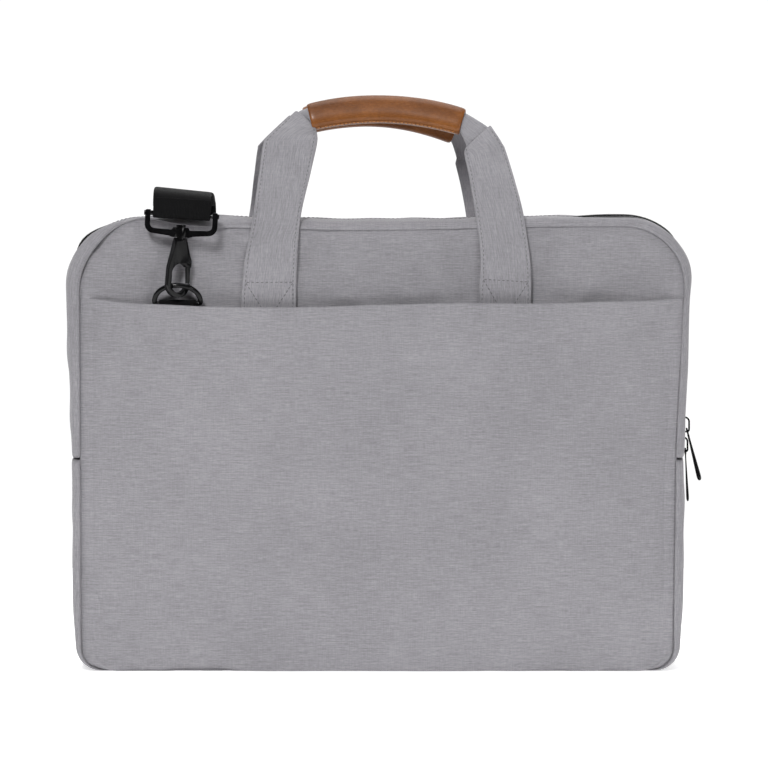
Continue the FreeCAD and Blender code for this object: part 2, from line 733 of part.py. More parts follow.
    rivet = new_body(f"gate_rivet_{end}")
    sketch = sketch_on(rivet)
    pin = Part.Circle(pivot, FreeCAD.Vector(0, 0, 1), 0.8)
    pad(rivet, draw(sketch, [pin]), "hook_thickness + 0.2", True)
    rivet.Placement = swivel


# ---------------------------------------------------------------- shoulder strap

# The strap's middle line as (x, y, z): from the front clasp's bar, over the top of the bag, down
# behind it, round in a hanging loop turned edge-on, and up to the rear clasp's bar.
OVER = [(-50.5, 309.2), (-51.5, 317), (-43, 323), (-12, 323.5), (34, 319), (54, 303), (58, 250), (62, 180)]
LOOP = [(-131.5, 152), (-131.5, 106), (-79, 35), (6, 9.5), (88, 39), (135.5, 107), (135.5, 152)]
LOOP_OUT = 70


def corner_radii(points):
    """As large an arc at each point as its two runs allow, with none at the two ends."""
    radii = [0]
    for before, here, after in zip(points, points[1:], points[2:]):
        first, second = here - before, after - here
        half = first.getAngle(second) / 2
        radii.append(0.45 * min(first.Length, second.Length) / math.tan(half) if half > 1e-6 else 0)
    return radii + [0]


def wall(points, thickness, depth, name):
    """Solid strip: flat route with rounded corners, a thickness in its plane, a depth out of it."""
    route = flat(points)
    radii = corner_radii(route)
    print(name, "radii:", [round(radius, 1) for radius in radii[1:-1]])
    line = Part.Wire([edge.toShape() for edge in rounded(route, radii, closed=False)])
    outline = Part.Wire([edge.toShape() for edge in ribbon(route, radii, thickness)])
    solid = Part.Face(outline).extrude(FreeCAD.Vector(0, 0, depth))
    expected = line.Length * thickness * depth
    print(name, "length:", round(line.Length, 1), "volume ratio:", round(solid.Volume / expected, 3))
    return solid


def cross_section(centre, across, along_y, thickness, width):
    """Rectangle of webbing seen from above, with its width along X or along Y."""
    half_x, half_y = (thickness / 2, width / 2) if along_y else (width / 2, thickness / 2)
    corners = [(half_x, half_y), (-half_x, half_y), (-half_x, -half_y), (half_x, -half_y)]
    if along_y:
        corners = corners[1:] + corners[:1]
    points = [FreeCAD.Vector(across + x, centre[0] + y, centre[1]) for x, y in corners]
    return Part.makePolygon(points + points[:1])


def shoulder_strap():
    width, thick = cell("webbing_width"), cell("strap_thickness")
    across, back = LOOP[0][0], LOOP_OUT
    over = wall(OVER, thick, width, "strap over the top")
    over.Placement = FreeCAD.Placement(
        FreeCAD.Vector(across - width / 2, 0, 0), turned((1, 1, 1), 120)
    )
    loop = wall(LOOP, thick, width, "strap loop")
    loop.Placement = FreeCAD.Placement(
        FreeCAD.Vector(0, back + width / 2, 0), turned((1, 0, 0), 90)
    )
    end_up = cell("rear_clasp_height") - cell("frame_bar_height") - 4.0
    left = Part.makeLoft(
        [
            cross_section(OVER[-1], across, False, thick, width),
            cross_section((back, LOOP[0][1]), across, True, thick, width),
        ],
        True, True,
    )
    right = Part.makeLoft(
        [
            cross_section((back, LOOP[-1][1]), LOOP[-1][0], True, thick, width),
            cross_section((clasp_reach(), end_up), LOOP[-1][0], False, thick, width),
        ],
        True, True,
    )
    strap = over.multiFuse([left, loop, right]).removeSplitter()
    print("strap solids:", len(strap.Solids), "volume:", round(strap.Volume))
    plain_part("shoulder_strap", strap.Solids[0])


def strap_end(label, across, height, up):
    """The webbing's fold round a clasp's bar."""
    bar_radius = 1.9
    sleeve = Part.makeCylinder(bar_radius + 1.5, cell("webbing_width"))
    sleeve = sleeve.cut(Part.makeCylinder(bar_radius, cell("webbing_width")))
    out = -up * clasp_reach()
    tilt = cell("clasp_tilt") if up > 0 else 0
    bar = FreeCAD.Vector(across, out, height + up * cell("frame_bar_height"))
    turn = turned((0, 1, 0), tilt).multiply(turned((0, 1, 0), 90))
    start = turn.multVec(FreeCAD.Vector(0, 0, -cell("webbing_width") / 2))
    plain_part(label, sleeve, FreeCAD.Placement(bar + start, turn))


def adjuster():
    """Length adjuster that the strap runs through, a flat loop behind the bag."""
    width, thick = cell("webbing_width"), cell("strap_thickness")
    body = new_body("strap_adjuster")
    outer = flat([(-24, -5), (24, -5), (24, 5), (-24, 5)])
    sketch = sketch_on(body, "XY_Plane", "216")
    pad(body, draw(sketch, rounded(outer, [3] * 4)), "24")
    half_x, half_y = width / 2 + 0.6, thick / 2 + 1.1
    window = flat([(-half_x, -half_y), (half_x, -half_y), (half_x, half_y), (-half_x, half_y)])
    sketch = sketch_on(body, "XY_Plane")
    pocket(body, draw(sketch, rounded(window, [0] * 4)))
    body.Placement = FreeCAD.Placement(FreeCAD.Vector(LOOP[0][0], 59.4, 0), FreeCAD.Rotation())


# ---------------------------------------------------------------- rear pocket

REAR_TAPE = 0.8
REAR_COIL = 1.8
REAR_SLIDER_HALF = 6


def rear_pocket():
    """A short zip across the rear face, over a thin hidden pouch."""
    length, up, face = "rear_zip_half_length", "rear_zip_height", f"-({FACE})"
    block("rear_pocket_tape", f"-{length} - 6", f"{length} + 6", f"{up} - 9", f"{up} + 9",
          face, str(REAR_TAPE))
    block("rear_pocket_coil", f"-{length}", length, f"{up} - 2.6", f"{up} + 2.6",
          f"{face} - {REAR_TAPE}", str(REAR_COIL))
    block("rear_pocket_pouch", f"-{length} - 8", f"{length} + 8", f"{up} - 120", f"{up} + 6",
          "2 * lining - gusset_half_depth + 0.2", "lining")


def rear_pocket_slider():
    """Slider of the rear pocket at the zip's closed end, and its pull on one leg of the bridge."""
    rear = cell("gusset_half_depth") + cell("panel_thickness")
    across, up = 8 - cell("rear_zip_half_length"), cell("rear_zip_height")
    plate, half = cell("slider_plate"), REAR_SLIDER_HALF
    top = rear + REAR_TAPE + REAR_COIL + 0.3
    body = new_body("rear_pocket_slider")
    outer = flat([(across - half, up - 4.6), (across + half, up - 4.6), (across + half, up + 4.6),
                  (across - half, up + 4.6)])
    sketch = sketch_on(body, offset=str(-top - plate))
    pad(body, draw(sketch, rounded(outer, [2] * 4)), str(plate))
    flange_height = 1.2
    for side in (-1, 1):
        low = up + side * 3.9 - flange_height / 2
        high = low + flange_height
        flange = flat([(across - 4, low), (across + 4, low), (across + 4, high), (across - 4, high)])
        sketch = sketch_on(body, offset=str(-top))
        pad(body, draw(sketch, rounded(flange, [0] * 4)), str(top - rear - REAR_TAPE - 0.3))
    leg, rise = 4.6, 4.6
    arch = flat([(across - leg, top + 1), (across - leg, top + rise), (across + leg, top + rise),
                 (across + leg, top + 1)])
    sketch = sketch_on(body, "XY_Plane", str(up - 0.9))
    pad(body, draw(sketch, ribbon(arch, [0, 1.5, 1.5, 0], 1.2)), "1.8")
    eye = FreeCAD.Vector(across + leg, top + plate + 1.2, up + 1.75)
    pull = zip_pull("rear_pocket_pull", eye, 0, 27)
    pull.Placement = FreeCAD.Placement(eye, turned((0, 0, 1), 90))


# ---------------------------------------------------------------- assembly


def build():
    bag_shell()
    bag_inside()
    slip_pocket("upper_slip_pocket", "upper")
    slip_pocket("lower_slip_pocket", "lower")
    retaining_strap()
    for name, splay in (("upper", 20.5), ("lower", 0)):
        pivot = zip_slider(f"zip_slider_{name}", f"{name}_slider_height")
        print(f"zip_pull_{name} pivot:", pivot)
        zip_pull(f"zip_pull_{name}", pivot, splay)
    front_grip = [(-48, 369), (-2, 374.8), (54.6, 366)]
    rear_grip = [(-46, 363), (-2, 368), (54.6, 358)]
    handle("front", 0, cell("front_lean"), 1, front_grip)
    handle("rear", cell("rear_shift"), cell("rear_lean"), -1, rear_grip)
    for side in ("left", "right"):
        handle_anchor(f"handle_anchor_front_{side}", f"{side}_leg", "0", "front_anchor_length", 1)
        handle_anchor(f"handle_anchor_rear_{side}", f"{side}_leg", "rear_shift", "rear_anchor_length", -1)
    rings = (("front", cell("front_ring_across"), 1), ("rear", cell("rear_ring_across"), -1))
    for end, across, facing in rings:
        ring_tab(f"d_ring_tab_{end}", across, facing)
        d_ring(f"d_ring_{end}", across, facing)
    front_at = FreeCAD.Vector(cell("front_clasp_across"), -clasp_reach(), cell("front_clasp_height"))
    rear_at = FreeCAD.Vector(cell("rear_clasp_across"), clasp_reach(), cell("rear_clasp_height"))
    snap_hook("front", FreeCAD.Placement(front_at, turned((0, 1, 0), cell("clasp_tilt"))))
    snap_hook("rear", FreeCAD.Placement(rear_at, turned((1, 0, 0), 180)))
    strap_end("strap_end_front", cell("front_clasp_across"), cell("front_clasp_height"), 1)
    strap_end("strap_end_rear", cell("rear_clasp_across"), cell("rear_clasp_height"), -1)
    shoulder_strap()
    adjuster()
    rear_pocket()
    rear_pocket_slider()


def export():
    doc.recompute()
    broken = [item.Label for item in doc.Objects if {"Invalid", "Error"} & set(item.State)]
    assert not broken, f"failed objects: {broken}"
    os.makedirs("parts", exist_ok=True)
    for node in nodes:
        shape = node.Shape
        assert not shape.isNull() and shape.isValid(), f"{node.Label} has no valid shape"
        print(f"{node.Label}: {len(shape.Solids)} solid, {shape.Volume / 1000:.2f} cm3")
        shape.exportStep(f"parts/{node.Label}.step")
    print(len(nodes), "nodes")


build()
export()
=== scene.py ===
import json
import math

import bmesh
import bpy
import numpy as np
from mathutils import Matrix, Vector


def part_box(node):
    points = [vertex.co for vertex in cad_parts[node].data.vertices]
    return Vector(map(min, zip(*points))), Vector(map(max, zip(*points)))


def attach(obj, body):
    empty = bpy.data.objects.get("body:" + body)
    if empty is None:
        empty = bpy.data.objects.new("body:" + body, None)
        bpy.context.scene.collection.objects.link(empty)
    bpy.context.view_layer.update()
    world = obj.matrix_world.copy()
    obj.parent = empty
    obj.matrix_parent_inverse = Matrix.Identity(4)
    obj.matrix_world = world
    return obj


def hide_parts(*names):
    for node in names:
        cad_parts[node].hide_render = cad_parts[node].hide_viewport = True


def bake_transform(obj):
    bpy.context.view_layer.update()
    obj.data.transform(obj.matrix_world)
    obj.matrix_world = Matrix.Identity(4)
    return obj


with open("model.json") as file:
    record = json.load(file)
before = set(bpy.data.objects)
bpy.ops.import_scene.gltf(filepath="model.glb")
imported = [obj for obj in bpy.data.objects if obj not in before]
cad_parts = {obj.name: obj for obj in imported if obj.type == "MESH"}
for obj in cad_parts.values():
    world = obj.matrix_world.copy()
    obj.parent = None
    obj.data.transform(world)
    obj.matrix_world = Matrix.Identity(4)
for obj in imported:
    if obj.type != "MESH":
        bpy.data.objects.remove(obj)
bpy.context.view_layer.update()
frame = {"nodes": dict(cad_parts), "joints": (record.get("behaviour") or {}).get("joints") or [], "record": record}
SCENE = bpy.context.scene

# Laptop messenger bag. Metres, X across, +Z up, the slip pocket looks towards -Y.

# ---------------------------------------------------------------- places read from the frame

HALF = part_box("lower_gusset")[1].x
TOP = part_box("front_zip_gusset")[1].z
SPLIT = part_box("lower_gusset")[1].z
FACE = -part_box("upper_front_panel")[0].y
POCKET_OUT = -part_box("lower_slip_pocket")[0].y
POCKET_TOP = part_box("upper_slip_pocket")[1].z
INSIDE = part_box("rear_lining")[0].y
TOP_RADIUS = 0.046
BOTTOM_RADIUS = 0.016
SEAM_OUT = 0.0364

# The faces are sewn to the band a little inside its outline, and right at its lower edge.
LOW_INSET = 0.0010
FACE_HALF, FACE_TOP = HALF - 0.0045, TOP - 0.0068
FACE_TOP_RADIUS, FACE_LOW_RADIUS = 0.042, 0.014
STRAIGHT_LOW, STRAIGHT_HIGH = LOW_INSET + FACE_LOW_RADIUS, FACE_TOP - FACE_TOP_RADIUS

# How far the soft sides stand out from the plain outline, as (height, distance) from the bottom up.
# The seam on the left keeps to the outline.
BAND_LEFT = [(0, -0.001), (0.02, 0), (0.05, 0.0018), (0.12, 0.0016), (0.17, 0.0026), (0.22, 0.0046),
             (0.25, 0.0051), (0.28, 0.0058), (0.302, 0.0062)]
BAND_RIGHT = [(0, -0.005), (0.02, -0.0042), (0.05, -0.0024), (0.11, -0.0018), (0.14, -0.0026),
              (0.16, -0.0015), (0.19, -0.0004), (0.23, 0.0009), (0.26, 0.0018), (0.28, 0.0044),
              (0.302, 0.0056)]
SEAM_RIGHT = [(0, -0.0047), (0.05, -0.0047), (0.15, -0.0035), (0.187, -0.0017), (0.225, 0.0003),
              (0.272, 0.0026), (0.302, 0.0036)]
ANCHOR_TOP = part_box("handle_anchor_front_left")[1].z


# ---------------------------------------------------------------- camera

def make_camera():
    distance, span, elevation = 3.0, 0.5115, math.radians(3)
    target = Vector((0.002, -0.03, 0.191))
    data = bpy.data.cameras.new("camera")
    data.sensor_width = 36
    data.lens = data.sensor_width * distance / span
    camera = bpy.data.objects.new("camera", data)
    SCENE.collection.objects.link(camera)
    back = Vector((0, -math.cos(elevation), math.sin(elevation)))
    camera.location = target + back * distance
    camera.rotation_euler = back.to_track_quat("Z", "Y").to_euler()
    SCENE.camera = camera


make_camera()


# ---------------------------------------------------------------- node materials

def add_node(tree, kind, settings=None, **inputs):
    """A shader node; an input is a value or another node's socket."""
    made = tree.nodes.new(kind)
    for key, value in (settings or {}).items():
        setattr(made, key, value)
    for key, value in inputs.items():
        socket = made.inputs[int(key[1:])] if key[1:].isdigit() else made.inputs[key.replace("_", " ")]
        if isinstance(value, bpy.types.NodeSocket):
            tree.links.new(value, socket)
        else:
            socket.default_value = value
    return made


def calc(tree, operation, first, second=0.0, third=0.0):
    return add_node(tree, "ShaderNodeMath", {"operation": operation}, i0=first, i1=second,
                    i2=third).outputs[0]


def weigh(tree, *parts, base=0.0):
    """Sum of (socket, weight) pairs and a base."""
    for value, weight in parts:
        base = calc(tree, "MULTIPLY_ADD", value, weight, base)
    return base


def ramp(tree, factor, stops):
    """Colour ramp through (position, colour) stops."""
    made = add_node(tree, "ShaderNodeValToRGB", Fac=factor)
    elements = made.color_ramp.elements
    while len(elements) < len(stops):
        elements.new(0.5)
    for element, (position, colour) in zip(elements, stops):
        element.position = position
        element.color = (*colour, 1)
    return made.outputs["Color"]


def cloth_place(tree):
    """The cloth's own coordinates: X along the piece, Y across it, in metres."""
    return add_node(tree, "ShaderNodeAttribute", {"attribute_name": "cloth"}).outputs["Vector"]


def object_place(tree):
    return add_node(tree, "ShaderNodeTexCoord").outputs["Object"]


def mottle(tree, place, scale, detail=2.0, roughness=0.55):
    """Noise stretched by a scale for each axis, given in cells per metre."""
    mapped = add_node(tree, "ShaderNodeMapping", Vector=place, Scale=scale).outputs["Vector"]
    return add_node(tree, "ShaderNodeTexNoise", Vector=mapped, Scale=1.0, Detail=detail,
                    Roughness=roughness).outputs["Fac"]


def ridges(tree, place, axis, pitch):
    """A sine across one axis of a place, from -1 to 1."""
    split = add_node(tree, "ShaderNodeSeparateXYZ", Vector=place).outputs[axis]
    return calc(tree, "SINE", calc(tree, "MULTIPLY", split, 2 * math.pi / pitch))


def start_material(name, **constants):
    made = bpy.data.materials.new(name)
    made.use_nodes = True
    shader = made.node_tree.nodes["Principled BSDF"]
    for key, value in constants.items():
        shader.inputs[key.replace("_", " ")].default_value = value
    return made, made.node_tree, shader


def finish_material(tree, shader, colour, roughness, height, depth):
    """Link colour and roughness, and bump from a height from 0 to 1 over a depth in metres."""
    bump = add_node(tree, "ShaderNodeBump", Height=height, Strength=1.0, Distance=depth)
    tree.links.new(colour, shader.inputs["Base Color"])
    tree.links.new(roughness, shader.inputs["Roughness"])
    tree.links.new(bump.outputs["Normal"], shader.inputs["Normal"])


def melange(name, dark, middle, light):
    """Two-tone polyester weave: slubs that run along the piece, and a fine plain weave."""
    made, tree, shader = start_material(name, Sheen_Weight=0.18, Sheen_Roughness=0.45)
    place = cloth_place(tree)
    long_slubs = mottle(tree, place, (70, 1250, 1), 2.0, 0.6)
    short_slubs = mottle(tree, place, (330, 2300, 1), 1.0, 0.5)
    cross_slubs = mottle(tree, place, (1500, 110, 1), 1.0, 0.5)
    cloudy = mottle(tree, object_place(tree), (16, 16, 16), 3.0, 0.5)
    mixed = weigh(tree, (long_slubs, 0.40), (short_slubs, 0.3), (cross_slubs, 0.14), (cloudy, 0.16))
    colour = ramp(tree, mixed, ((0.36, dark), (0.5, middle), (0.63, light)))
    pitch = 0.00062
    weave = calc(tree, "MULTIPLY", ridges(tree, place, 0, pitch), ridges(tree, place, 1, pitch))
    height = weigh(tree, (weave, 0.35), (mixed, 1.0))
    rough = weigh(tree, (mixed, -0.2), base=0.95)
    finish_material(tree, shader, colour, rough, height, 0.00016)
    return made


def webbing(name, dark, light, rib, row, depth=0.0003, rough=0.62):
    """Woven tape with ribs along it and rows across it; its colour is painted darker in the grooves between them
    (painted shade) and lighter on their tops.
    """
    made, tree, shader = start_material(name, Sheen_Weight=0.01, Sheen_Roughness=0.3,
                                        Specular_IOR_Level=0.1)
    place = cloth_place(tree)
    ribs = calc(tree, "ABSOLUTE", ridges(tree, place, 1, rib))
    rows = calc(tree, "ABSOLUTE", ridges(tree, place, 0, row))
    fuzz = mottle(tree, place, (900, 900, 1), 2.0)
    wear = mottle(tree, object_place(tree), (35, 35, 35), 4.0)
    height = weigh(tree, (ribs, 0.5), (rows, 0.5))
    # Painted shade in the weave: the colour follows the ribs' and rows' height, darker in the grooves and lighter
    # on the tops; the fuzz and wear add random yarn tone.
    tone = weigh(tree, (height, 0.45), (fuzz, 0.35), (wear, 0.25))
    colour = ramp(tree, tone, ((0.3, dark), (0.85, light)))
    roughness = weigh(tree, (fuzz, 0.2), base=rough - 0.1)
    finish_material(tree, shader, colour, roughness, height, depth)
    return made


def leather(name):
    """Smooth tan leather: fine pebbled grain, cloudy dye, a few scuffs and a soft polish."""
    made, tree, shader = start_material(name, Coat_Weight=0.3, Coat_Roughness=0.24,
                                        Specular_IOR_Level=0.2)
    place = object_place(tree)
    cloudy = mottle(tree, place, (45, 60, 60), 4.0, 0.6)
    fibres = mottle(tree, place, (500, 900, 900), 3.0, 0.6)
    cells = add_node(tree, "ShaderNodeTexVoronoi", {"feature": "DISTANCE_TO_EDGE"}, Vector=place,
                     Scale=950.0).outputs["Distance"]
    scuffs = mottle(tree, place, (160, 1100, 1100), 3.0, 0.7)
    worn = ramp(tree, scuffs, ((0.6, (0, 0, 0)), (0.75, (1, 1, 1))))
    tone = weigh(tree, (cloudy, 0.7), (fibres, 0.3))
    colour = ramp(tree, tone, ((0.3, (0.108, 0.033, 0.005)), (0.5, (0.185, 0.060, 0.011)),
                               (0.72, (0.28, 0.100, 0.021))))
    colour = add_node(tree, "ShaderNodeMix", {"data_type": "RGBA"}, i0=calc(tree, "MULTIPLY", worn, 0.16),
                      i6=colour, i7=(0.5, 0.28, 0.13, 1)).outputs[2]
    grain = calc(tree, "MINIMUM", calc(tree, "MULTIPLY", cells, 5.0), 1.0)
    height = weigh(tree, (grain, 0.6), (cloudy, 0.5))
    roughness = weigh(tree, (scuffs, 0.3), base=0.26)
    finish_material(tree, shader, colour, roughness, height, 0.00009)
    return made


def black_metal(name):
    """Black-plated zinc with a soft gloss, faint handling marks and paler worn patches."""
    made, tree, shader = start_material(name, Coat_Weight=0.04, Coat_Roughness=0.05,
                                        Specular_IOR_Level=0.2)
    place = object_place(tree)
    marks = mottle(tree, place, (1300, 1300, 160), 3.0, 0.6)
    cloudy = mottle(tree, place, (120, 120, 120), 4.0, 0.6)
    colour = ramp(tree, cloudy, ((0.42, (0.0025, 0.0025, 0.0028)), (0.66, (0.006, 0.006, 0.0065)),
                                 (0.8, (0.02, 0.0195, 0.0195))))
    finish_material(tree, shader, colour, weigh(tree, (marks, 0.14), base=0.08), marks, 0.000005)
    return made


def nylon(name, colour):
    """Moulded or drawn nylon with a faint grain."""
    made, tree, shader = start_material(name, Specular_IOR_Level=0.55)
    place = object_place(tree)
    grain = mottle(tree, place, (2500, 2500, 2500), 2.0)
    tint = ramp(tree, mottle(tree, place, (200, 200, 200), 3.0),
                ((0.35, tuple(0.7 * c for c in colour)), (0.7, tuple(1.5 * c for c in colour))))
    finish_material(tree, shader, tint, weigh(tree, (grain, 0.2), base=0.34), grain, 0.00003)
    return made


def thread(name, colour):
    """Twisted sewing thread."""
    made, tree, shader = start_material(name, Sheen_Weight=0.2)
    twist = mottle(tree, object_place(tree), (2600, 2600, 2600), 2.0)
    tint = ramp(tree, twist, ((0.3, tuple(0.55 * c for c in colour)), (0.7, colour)))
    finish_material(tree, shader, tint, weigh(tree, (twist, 0.2), base=0.6), twist, 0.00008)
    return made


GREY = melange("grey_melange", (0.216, 0.210, 0.226), (0.288, 0.280, 0.300), (0.361, 0.351, 0.374))
GREY_WEB = melange("grey_handle_webbing", (0.226, 0.220, 0.236), (0.302, 0.294, 0.315), (0.378, 0.368, 0.393))
LINING = webbing("lining_cloth", (0.012, 0.012, 0.013), (0.05, 0.05, 0.053), 0.0005, 0.0005, 0.00008, 0.7)
BLACK_WEB = webbing("black_webbing", (0.0008, 0.0008, 0.001), (0.0062, 0.0062, 0.0068), 0.0021, 0.0011)
BLACK_TAPE = webbing("black_tape", (0.003, 0.003, 0.0035), (0.02, 0.02, 0.022), 0.0007, 0.0009, 0.0001)
FUZZY = webbing("hook_and_loop", (0.003, 0.003, 0.003), (0.03, 0.03, 0.03), 0.0013, 0.0013, 0.0006, 0.9)
LEATHER = leather("tan_leather")
METAL = black_metal("black_metal")
COIL = nylon("black_nylon", (0.012, 0.012, 0.013))
BOARD = nylon("board_plastic", (0.03, 0.03, 0.032))
GREY_THREAD = thread("grey_thread", (0.20, 0.195, 0.21))
TAN_THREAD = thread("tan_thread", (0.62, 0.25, 0.06))
BLACK_THREAD = thread("black_thread", (0.03, 0.03, 0.032))


# ---------------------------------------------------------------- mesh helpers

SIGN = {"front": -1, "rear": 1}
FACE_BODY = {"front": "front_flap", "rear": "bag"}
FOLD_BODY = {"front": "fold", "rear": "bag"}
ACROSS = (1.0, 0, 0)


def joint_place(name):
    return np.array(next(joint for joint in frame["joints"] if joint["name"] == name)["pos_m"])


def node_slot(node):
    return next(part["material_slot"] for part in frame["record"]["subparts"] if part["node"] == node)


def dress(piece, slot, body, *nodes):
    """A piece's material slot (not used), its body if it rides on one, and the nodes it stands in for.

    The body "fold" is for pieces fixed to the bag below the mouth's hinge; they only have their placement baked
    into the mesh and ride on no body.
    """
    if nodes:
        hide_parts(*nodes)
    if body == "fold":
        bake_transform(piece)
    elif body:
        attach(piece, body)
    return piece


def distances(points):
    """Distance of each point from the first, along the line of points."""
    return np.concatenate([[0], np.cumsum(np.linalg.norm(np.diff(points, axis=0), axis=1))])


def along_line(places, steps, points):
    """Values of the columns of points at places along a line with these distances."""
    return np.stack([np.interp(places, steps, column) for column in points.T], -1)


def bar_faces(rings, sides, first=0):
    """Faces of a closed bar whose points lie in rings."""
    faces = []
    for a in range(first, first + (rings - 1) * sides, sides):
        faces += [[a + k, a + (k + 1) % sides, a + (k + 1) % sides + sides, a + k + sides]
                  for k in range(sides)]
    last = first + (rings - 1) * sides
    return faces + [[first + k for k in range(sides)][::-1], [last + k for k in range(sides)]]


def grid_faces(rows, count):
    """Numbers of a grid's points, and its faces."""
    index = np.arange(rows * count).reshape(rows, count)
    corners = [index[:-1, :-1], index[:-1, 1:], index[1:, 1:], index[1:, :-1]]
    return index, np.stack(corners, -1).reshape(-1, 4)


def smoothstep(low, high, value):
    share = np.clip((np.asarray(value, float) - low) / (high - low), 0, 1)
    return share * share * (3 - 2 * share)


def bell(value, width, middle=0.0):
    return np.exp(-((value - middle) / width) ** 2)


def undulation(x, z, seed, scale):
    """Gentle unevenness from a few seeded waves; scale is their middle wavelength in metres."""
    rng = np.random.default_rng(seed)
    total, terms = 0, 12
    for _ in range(terms):
        angle, phase = rng.uniform(0, 2 * math.pi, 2)
        frequency = 2 * math.pi * rng.uniform(0.6, 1.6) / scale
        total = total + np.cos(frequency * (x * math.cos(angle) + z * math.sin(angle)) + phase)
    return total / math.sqrt(terms)


def crease(x, z, start, end, width, depth):
    """A soft dent of a width and depth along a segment of the face, fading at its ends."""
    (x0, z0), (x1, z1) = start, end
    dx, dz = x1 - x0, z1 - z0
    share = np.clip(((x - x0) * dx + (z - z0) * dz) / (dx * dx + dz * dz), 0, 1)
    away = np.hypot(x - x0 - share * dx, z - z0 - share * dz)
    return depth * bell(away, width) * (0.35 + 0.65 * np.sin(math.pi * share))


def creases(x, z, table):
    """Sum of the dents in a table of (start, end, width, depth)."""
    return sum(crease(x, z, *row) for row in table)


def curve_through(points, count):
    """Evenly spaced points on a smooth curve through a few points (Catmull-Rom)."""
    points = np.asarray(points, float)
    padded = np.vstack([2 * points[0] - points[1], points, 2 * points[-1] - points[-2]])
    out = []
    for i in range(1, len(padded) - 2):
        p0, p1, p2, p3 = padded[i - 1:i + 3]
        for t in np.linspace(0, 1, 16, endpoint=False):
            out.append(0.5 * (2 * p1 + (p2 - p0) * t + (2 * p0 - 5 * p1 + 4 * p2 - p3) * t ** 2
                              + (3 * p1 - p0 - 3 * p2 + p3) * t ** 3))
    line = np.vstack([out, points[-1]])
    steps = distances(line)
    return along_line(np.linspace(0, steps[-1], count), steps, line)


def mesh_piece(name, verts, faces, materials, slots=None, cloth=None, subdivide=0):
    """An object from points and faces; cloth gives the weave's coordinates at each point."""
    mesh = bpy.data.meshes.new(name)
    mesh.from_pydata(np.asarray(verts, float).tolist(), [], faces)
    for made in materials:
        mesh.materials.append(made)
    if slots is not None:
        mesh.polygons.foreach_set("material_index", slots)
    if cloth is not None:
        place = mesh.attributes.new("cloth", "FLOAT_VECTOR", "POINT")
        place.data.foreach_set("vector", np.asarray(cloth, np.float32).ravel())
    work = bmesh.new()
    work.from_mesh(mesh)
    bmesh.ops.recalc_face_normals(work, faces=work.faces)
    work.to_mesh(mesh)
    work.free()
    mesh.polygons.foreach_set("use_smooth", [True] * len(mesh.polygons))
    piece = bpy.data.objects.new(name, mesh)
    SCENE.collection.objects.link(piece)
    if subdivide:
        smooth = piece.modifiers.new("smooth", "SUBSURF")
        smooth.levels = subdivide
        smooth.render_levels = subdivide
    return piece


def loft_data(loops, first=0):
    """Points, faces and cloth coordinates of a closed skin through rings of points."""
    loops = np.asarray(loops, float)
    rings, count = loops.shape[:2]
    index = first + np.arange(rings * count).reshape(rings, count)
    a, b = index[:-1], index[1:]
    quads = np.stack([a, b, np.roll(b, -1, 1), np.roll(a, -1, 1)], -1).reshape(-1, 4).tolist()
    faces = quads + [index[0].tolist(), index[-1][::-1].tolist()]
    along = distances(loops.mean(1))
    around = np.linalg.norm(np.diff(loops, axis=1), axis=2)
    across = np.concatenate([np.zeros((rings, 1)), np.cumsum(around, 1)], 1)
    cloth = np.stack([np.repeat(along[:, None], count, 1), across, np.zeros((rings, count))], -1)
    return loops.reshape(-1, 3), faces, cloth.reshape(-1, 3)


def loft(name, loops, materials, columns=None, subdivide=1):
    """Closed skin through rings of points; columns gives the material of each stretch of a ring."""
    verts, faces, cloth = loft_data(loops)
    rings, count = np.asarray(loops).shape[:2]
    slots = list(columns or [0] * count) * (rings - 1) + [0, 0]
    return mesh_piece(name, verts, faces, materials, slots, cloth, subdivide)


def slab(name, front, back, materials):
    """Closed sheet between two grids of points; the weave's streaks run along X."""
    rows, count = front.shape[:2]
    total = rows * count
    index, quads = grid_faces(rows, count)
    rim = np.concatenate([index[0, :-1], index[:-1, -1], index[-1, :0:-1], index[:0:-1, 0]])
    after = np.roll(rim, -1)
    edge = np.stack([rim, after, after + total, rim + total], -1)
    faces = quads.tolist() + (quads[:, ::-1] + total).tolist() + edge.tolist()
    slots = [0] * len(quads) + [1] * len(quads) + [0] * len(edge)
    verts = np.concatenate([front.reshape(-1, 3), back.reshape(-1, 3)])
    cloth = np.stack([verts[:, 0], verts[:, 2], 0 * verts[:, 0]], -1)
    return mesh_piece(name, verts, faces, materials, slots, cloth, 1)


def sweep(points, width, thickness, wide, columns=9, furrow=0.0, furrow_at=0.86):
    """Rings of a flat strip along a middle line; wide is its width's direction, or one for each point.

    A furrow presses the strip a little thinner where its edges are stitched.
    """
    points, wide = np.asarray(points, float), np.asarray(wide, float)
    along = np.gradient(points, axis=0)
    along /= np.linalg.norm(along, axis=1)[:, None]
    wide = wide - (wide * along).sum(1)[:, None] * along
    wide /= np.linalg.norm(wide, axis=1)[:, None]
    out = np.cross(along, wide)
    spread = np.linspace(-1, 1, columns)
    pressed = 1 - furrow * bell(np.abs(spread), 0.05, furrow_at)
    flat = 1 - 0.04 * 0.9
    ring = [*zip(spread * flat, pressed), (1.0, 0.35), (1.0, -0.35)]
    ring += [*zip(spread[::-1] * flat, -pressed[::-1]), (-1.0, -0.35), (-1.0, 0.35)]
    return np.array([[point + side * s * width / 2 + up * p * thickness / 2 for s, p in ring]
                     for point, side, up in zip(points, wide, out)])


def join_lofts(name, groups, material):
    """One piece from several lofts."""
    verts, faces, cloth = [], [], []
    for loops in groups:
        first = sum(len(part) for part in verts)
        part, part_faces, part_cloth = loft_data(loops, first=first)
        verts.append(part)
        faces += part_faces
        cloth.append(part_cloth)
    return mesh_piece(name, np.concatenate(verts), faces, [material], None, np.concatenate(cloth), 1)


